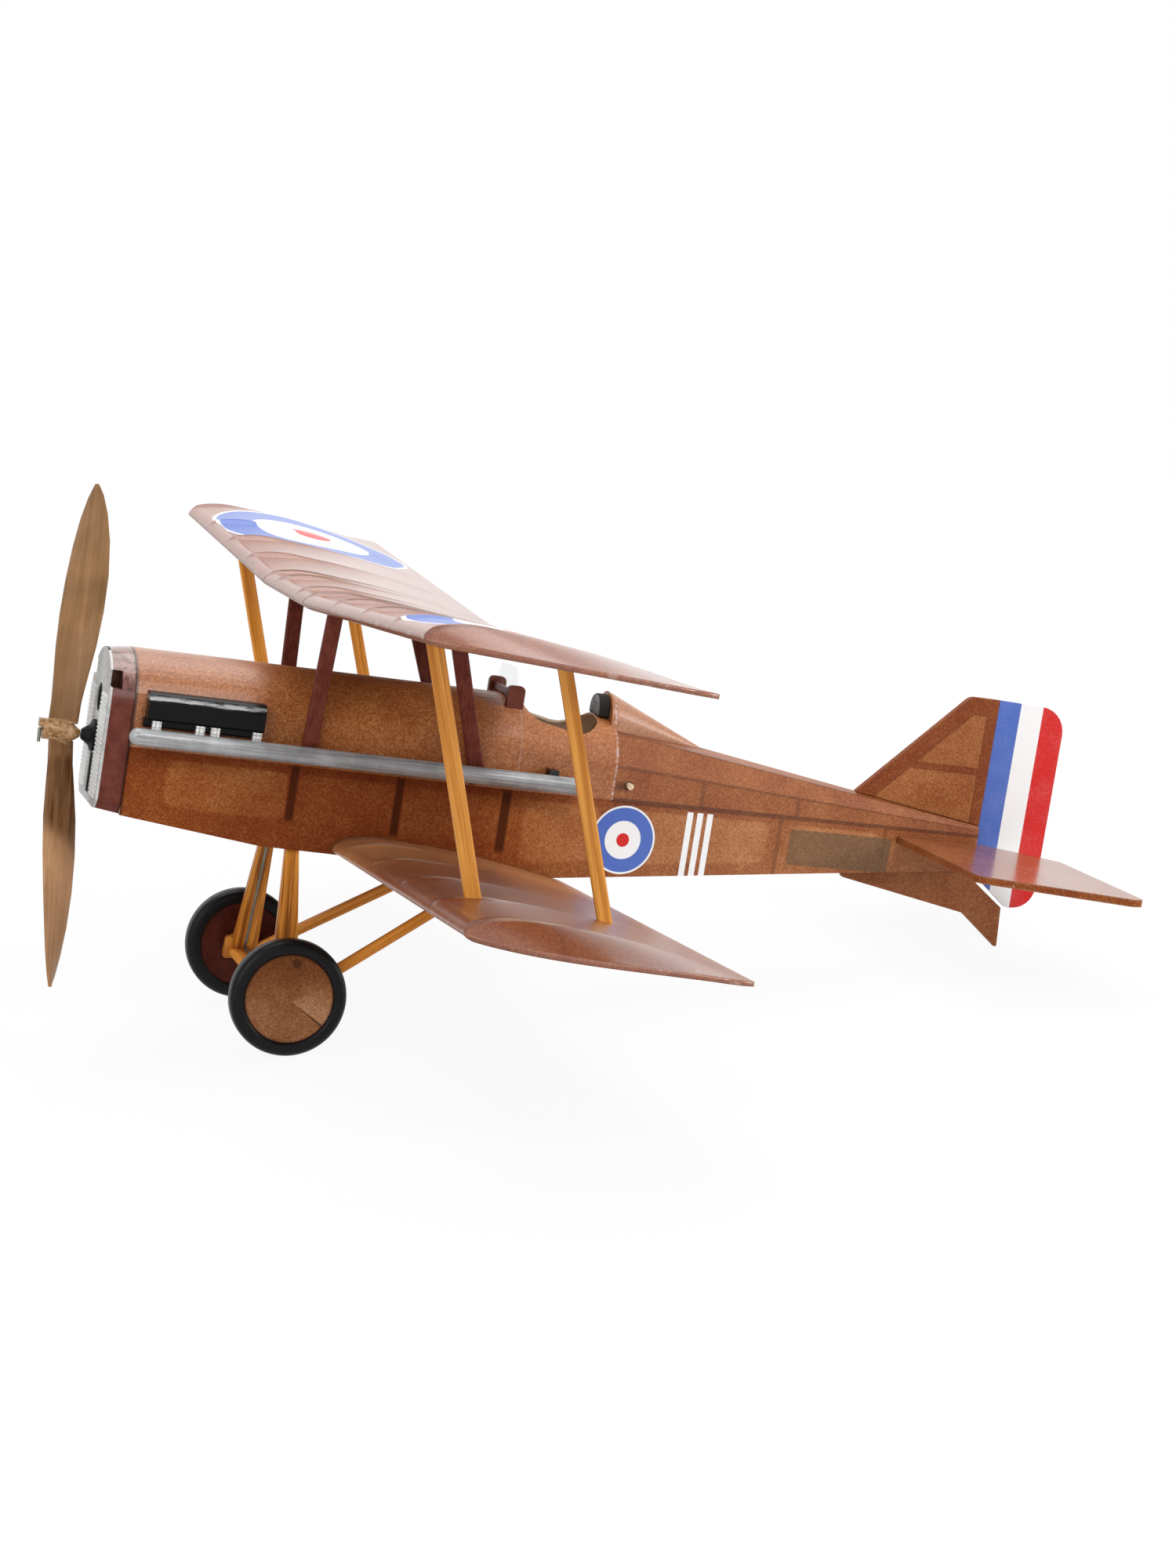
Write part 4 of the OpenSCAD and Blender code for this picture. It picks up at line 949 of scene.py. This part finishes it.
# How far the tissue sinks between two ribs
def sagAt(c, s, ribs, depths, top):
    for r0, r1, depth in zip(ribs, ribs[1:], depths):
        if r0 <= s <= r1:
            across = math.sin(math.pi * (s - r0) / (r1 - r0)) ** 0.65
            across *= min(1.0, (r1 - r0) / sag["fullBay"])
            break
    else:
        return 0.0
    if top:
        held = 1 - (1 - sag["keep"]) * smoothstep(*sag["fade"], c)
        start, end = smoothstep(*sag["start"], c), smoothstep(*sag["end"], c)
        return depth * across * start * held * (1 - end)
    held = smoothstep(*sag["underStart"], c) * (1 - smoothstep(*sag["underEnd"], c))
    return -sag["under"] * across * held


# How far a rib lifts the tissue near the leading edge
def ridgeAt(c, s, ribs):
    near = min(abs(s - rib) for rib in ribs)
    high = sag["ridge"] * math.exp(-((near / sag["narrow"]) ** 2))
    return high * smoothstep(*sag["ridgeStart"], c) * (1 - smoothstep(*sag["ridgeEnd"], c))


# How much of the tip's length the raked edge has reached at a distance behind the nose
def tipReach(c):
    first, length = wing["cornerRun"]
    corner = wing["corner"] * max(0.0, (c - first) / length) ** 2.2
    return min(1.0, 0.03 + (max(c, 0.0) / wing["tipChord"]) ** wing["tipTurn"]) - corner


# Share of the droop of the tip's edge at a distance behind the nose
def tipDroop(c):
    return math.sin(math.pi * min(1.0, max(c, 0.0) / wing["droopEnd"]) ** 0.65) ** 1.2


# Skin of a panel with its tip: its section follows the ribs and sags between them
def wingPiece(name, key, side, looks, replaced, ribs, start, centre=False):
    panel, chord = wing[key], wing["chord"]
    count = 36
    across = [(1 - math.cos(math.pi * i / count)) / 2 for i in range(count, -1, -1)]
    rounds = [(u, True) for u in across] + [(u, False) for u in reversed(across[:-1])]
    dihedral = 0.0 if centre else panel["dihedral"]
    tipEnd = (wing["halfSpan"] - panel["root"]) / math.cos(panel["dihedral"])
    rows = []
    near, beyond, clear = wing["ribRows"]
    for r0, r1 in zip([start, *ribs], ribs):
        length = r1 - r0 - 2 * clear
        steps = max(2, round(length / wing["rowStep"]))
        inner = [r0 + clear + length * i / steps for i in range(steps + 1)]
        rows += [(s, 0.0) for s in (r0, r0 + near, r0 + beyond, *inner, r1 - beyond, r1 - near)]
    rows.append((ribs[-1], 0.0))
    if not centre:
        rows += [(ribs[-1], w) for w in wing["tipSteps"]]
    ct, st = math.cos(panel["tilt"]), math.sin(panel["tilt"])
    cd, sd = math.cos(dihedral), math.sin(dihedral)
    points = []
    for row, (s, w) in enumerate(rows):
        for u, top in rounds:
            c = u * chord
            proud = wing["skin"] * min(1.0, math.sqrt(u / 0.01))
            z = topAt(u) + proud if top else underAt(u) - proud
            run = s + w * (tipEnd - s) * tipReach(c)
            if w > 0:
                edge = max(0.0, min(wing["tipEdge"], z)) - wing["droop"][key] * tipDroop(c)
                z += ridgeAt(c, s, ribs) * (1 - w) ** 6 if top else 0.0
                z += (edge - z) * w**1.4
            else:
                z -= sagAt(c, s, [start, *ribs], sag["centre" if centre else key], top)
                z += ridgeAt(c, s, [start, *ribs]) if top else 0.0
            x, up = -c * ct - z * st, -c * st + z * ct
            if row == 0 and not centre:
                if key == "upper":
                    run = up * math.tan(dihedral)
                else:
                    taperX, taper, taperRun = wing["bodyTaper"]
                    wall = -max(0.0, taperX - (panel["x"] + x)) * taper / taperRun
                    run = (wall + up * sd) / cd
            y = (0.0 if centre else panel["root"]) + run * cd - up * sd
            points.append((panel["x"] + x, side * y, panel["z"] + run * sd + up * cd))
    cols = len(rounds)
    faces = ringFaces(len(rows), cols)
    index = [0 if c < count else 1 for r in range(len(rows) - 1) for c in range(cols)]
    last = (len(rows) - 1) * cols
    faces.append(tuple(range(cols)))
    index.append(1)
    for i in range(count):  # the edge of the tip, or the flat end of the centre section
        ends = (last + i, last + i + 1, last + cols - 2 - i, last + cols - 1 - i)
        faces.append(ends if i < count - 1 else (last + i, last + i + 1, last + i + 2))
        index.append(0)
    build(name, points, faces, looks, "airframe", replaced, index)


for side, label in ((1, "port"), (-1, "starboard")):
    wingPiece(
        label + "UpperSkin", "upper", side, ("upperTop", "upperUnder"),
        (label + "_upper_tissue", "upper_wing_tips"), wing["upperRibs"], 0.0,
    )
    wingPiece(
        label + "LowerSkin", "lower", side, ("lowerTop", "lowerTop"),
        (label + "_lower_tissue", "lower_wing_tips"), wing["lowerRibs"], 0.0,
    )
wingPiece(
    "centreUpperSkin", "upper", 1, ("upperTop", "upperUnder"),
    ("upper_centre_tissue",), wing["centreRibs"], -wing["centreRibs"][-1], True,
)

print("stage: headrest pad")


# Height of the coaming under the pad
def padFoot(y):
    height, fall = padLook["foot"]
    return height - fall * y * y


# Outline of the pad, drawn in towards its middle by the share given
def padLine(share, count=44):
    half, spring, top, middle = [padLook[key] for key in ("half", "spring", "top", "middle")]
    line = []
    for i in range(count):
        turn = 2 * math.pi * i / count
        a, b = math.cos(turn), math.sin(turn)
        y = half * math.copysign(abs(a) ** 0.75, a)
        if b > 0:
            z = spring + (top - spring) * b
        else:
            z = spring - (spring - padFoot(y)) * abs(b) ** 0.35
        line.append((y * share, middle + (z - middle) * share))
    return line


def padPiece():
    back, front = padLook["x"]
    layers = [(back + depth, share) for depth, share in padLook["rearRows"]]
    layers += [(front - depth, share) for depth, share in padLook["frontRows"]]
    points = [(x, y, z) for x, share in layers for y, z in padLine(share)]
    cols = len(padLine(1.0))
    last = (len(layers) - 1) * cols
    faces = ringFaces(len(layers), cols)
    faces += [tuple(range(cols)), tuple(range(last, last + cols))]
    piece = build("headrestFelt", points, faces, ("felt",), "airframe", ("headrest_pad",))


padPiece()

print("stage: radiator slats")
slats = {
    "rows": 25, "low": -16.6, "high": 14.2, "inner": 5.6, "outer": 15.4, "chamfer": -15.2,
    # Section of a slat: how far it stands out, and its share of the pitch
    "section": ((-0.12, 0.0), (0.5, 0.06), (0.5, 0.42), (0.06, 0.96), (-0.12, 0.96)),
}


# Two columns of narrow sloping slats on the radiator's face
def slatPiece():
    points, faces = [], []
    pitch = (slats["high"] - slats["low"]) / slats["rows"]
    cols = len(slats["section"])
    for side in (1, -1):
        for row in range(slats["rows"]):
            z = slats["low"] + pitch * row
            outer = slats["outer"] - max(0.0, slats["chamfer"] - z)
            base = len(points)
            for y in (slats["inner"], outer):
                points += [(x, side * y, z + up * pitch) for x, up in slats["section"]]
            faces += [tuple(base + i for i in face) for face in ringFaces(2, cols)]
            faces += [tuple(base + end + i for i in range(cols)) for end in (0, cols)]
    looks = ("slats",)
    build("radiatorSlats", points, faces, looks, "nose_plug", smooth=False)


slatPiece()

print("stage: rubber motor")
motor = {
    "peg": (-163.2, 5.2, 1.75), "hook": (-20.0, 0.0, 1.6), "wide": 2.2, "thick": 0.8, "sag": 0.7,
    "twist": 0.5, "split": 0.82, "sides": 8, "corner": 0.4, "skew": 0.4,
    "bendRows": 12, "rearRows": 30, "frontRows": 12,
}


# Place of the rubber, its outward turn and its share of the way along a strand
def strandRow(v, side):
    (pegX, pegZ, pegR), (hookX, hookZ, hookR) = motor["peg"], motor["hook"]
    turn = math.atan2(hookZ - pegZ, hookX - pegX) + side * math.pi / 2
    reach = pegR + (hookR - pegR) * v
    x, z = pegX + (hookX - pegX) * v, pegZ + (hookZ - pegZ) * v
    return x + reach * math.cos(turn), z + reach * math.sin(turn), turn, v


# Half turn of the rubber round the peg or the hook
def bendRows(end, first):
    x, z, reach = motor[end]
    count = motor["bendRows"]
    turns = [first + math.pi * i / count for i in range(1, count)]
    return [(x + reach * math.cos(turn), z + reach * math.sin(turn), turn, 0.0) for turn in turns]


# Flat strip that follows the rows
def stripPiece(name, rows, replaced):
    points = []
    for x, z, turn, v in rows:
        lean = motor["twist"] * math.sin(2 * math.pi * v)
        drop = motor["sag"] * math.sin(math.pi * v)
        for i in range(motor["sides"]):
            angle = 2 * math.pi * i / motor["sides"] + motor["skew"]
            a, b = math.cos(angle), math.sin(angle)
            wide = motor["wide"] / 2 * math.copysign(abs(a) ** motor["corner"], a)
            thick = motor["thick"] / 2 * math.copysign(abs(b) ** motor["corner"], b)
            y = wide * math.cos(lean) - thick * math.sin(lean)
            out = wide * math.sin(lean) + thick * math.cos(lean)
            points.append((x + out * math.cos(turn), y, z + out * math.sin(turn) - drop))
    faces = ringFaces(len(rows), motor["sides"])
    return build(name, points, faces, ("rubber",), None, replaced)


# Loop of rubber from the shaft's hook round the peg, in two pieces:
# the rear strands with the turn round the peg, and the front strands with the turn round the hook
def rubberPieces():
    (pegX, pegZ), (hookX, hookZ) = motor["peg"][:2], motor["hook"][:2]
    way, split = math.atan2(hookZ - pegZ, hookX - pegX), motor["split"]
    rearRows, frontRows = motor["rearRows"], motor["frontRows"]
    rear = [split * i / rearRows for i in range(rearRows + 1)]
    front = [split + (1 - split) * i / frontRows for i in range(frontRows + 1)]
    rows = [strandRow(v, 1) for v in reversed(rear)] + bendRows("peg", way + math.pi / 2)
    loop = stripPiece("rubberLoop", rows + [strandRow(v, -1) for v in rear], ("rubber_motor",))
    rows = [strandRow(v, -1) for v in front] + bendRows("hook", way - math.pi / 2)
    end = stripPiece("rubberEnd", rows + [strandRow(v, 1) for v in reversed(front)], ())
    joint = at(pegX + (hookX - pegX) * split, 0, pegZ + (hookZ - pegZ) * split)
    at(pegX, 0, pegZ)
    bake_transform(loop)
    at(hookX, 0, hookZ)
    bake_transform(end)


rubberPieces()

print("stage: floor and light")
studio = {
    "reach": 6.0, "floor": (0.84, 0.84, 0.84), "white": 0.92, "near": 0.45, "far": 1.3,
    "fill": 0.42, "aim": (0.0, 0.0, 0.08),
}
reach = studio["reach"]
floorMesh = bpy.data.meshes.new("floor")
corners = [(-reach, -reach, 0), (reach, -reach, 0), (reach, reach, 0), (-reach, reach, 0)]
floorMesh.from_pydata(corners, [], [(0, 1, 2, 3)])
floor = bpy.data.objects.new("floor", floorMesh)
scene.collection.objects.link(floor)


# 1 for a ray that shows the background: straight, mirrored or seen through the screen
def shownRay(shade):
    kinds = ("Is Camera Ray", "Is Glossy Ray", "Is Transmission Ray")
    return shade.most(*[shade.add("LightPath", output=kind) for kind in kinds])


# The floor keeps a soft shadow near the object and turns white further out
floorShade = Shade(bpy.data.materials.new("floorPaper"))
floorX, floorY, floorZ = floorShade.split(floorShade.add("TexCoord", output="Object"))
away = floorShade.ramp(floorShade.length(floorX, floorY), studio["near"], studio["far"])
paper = floorShade.surface(studio["floor"], 0.7, specular=0.1)
glow = floorShade.add("Emission", None, {"Color": (1.0, 1.0, 1.0), "Strength": 1.0})
white = shownRay(floorShade) * (studio["white"] + away * (1.0 - studio["white"]))
both = floorShade.add("MixShader", None, {0: white, 1: paper, 2: glow})
floorShade.add("OutputMaterial", None, {0: both})
floorMesh.materials.append(floorShade.owner)

scene.world = bpy.data.worlds.new("world")
sky = Shade(scene.world)
strength = shownRay(sky) * (1.0 - studio["fill"]) + studio["fill"]
light = sky.add("Background", None, {"Color": (1.0, 1.0, 1.0), "Strength": strength})
sky.add("OutputWorld", None, {0: light})

# Each lamp: where it hangs, its size in metres and its power
lamps = {
    "back": ((0.0, -1.9, 0.75), (2.6, 1.1), 3.0),
    "top": ((0.0, -0.45, 1.5), (1.2, 1.4), 17.0),
    "key": ((-0.42, 1.25, 1.3), (0.34, 0.34), 9.5),
    "right": ((-1.6, 0.6, 0.5), (0.5, 0.5), 12.0),
    "left": ((1.0, 1.2, 0.8), (0.9, 0.9), 7.0),
}
for name, (place, size, power) in lamps.items():
    data = bpy.data.lights.new(name, "AREA")
    data.shape = "RECTANGLE"
    data.size, data.size_y = size
    data.energy = power
    lamp = bpy.data.objects.new(name, data)
    scene.collection.objects.link(lamp)
    lamp.location = place
    beam = Vector(studio["aim"]) - Vector(place)
    lamp.rotation_euler = beam.to_track_quat("-Z", "Y").to_euler()
    lamp.visible_camera = False

print("stage: finish")
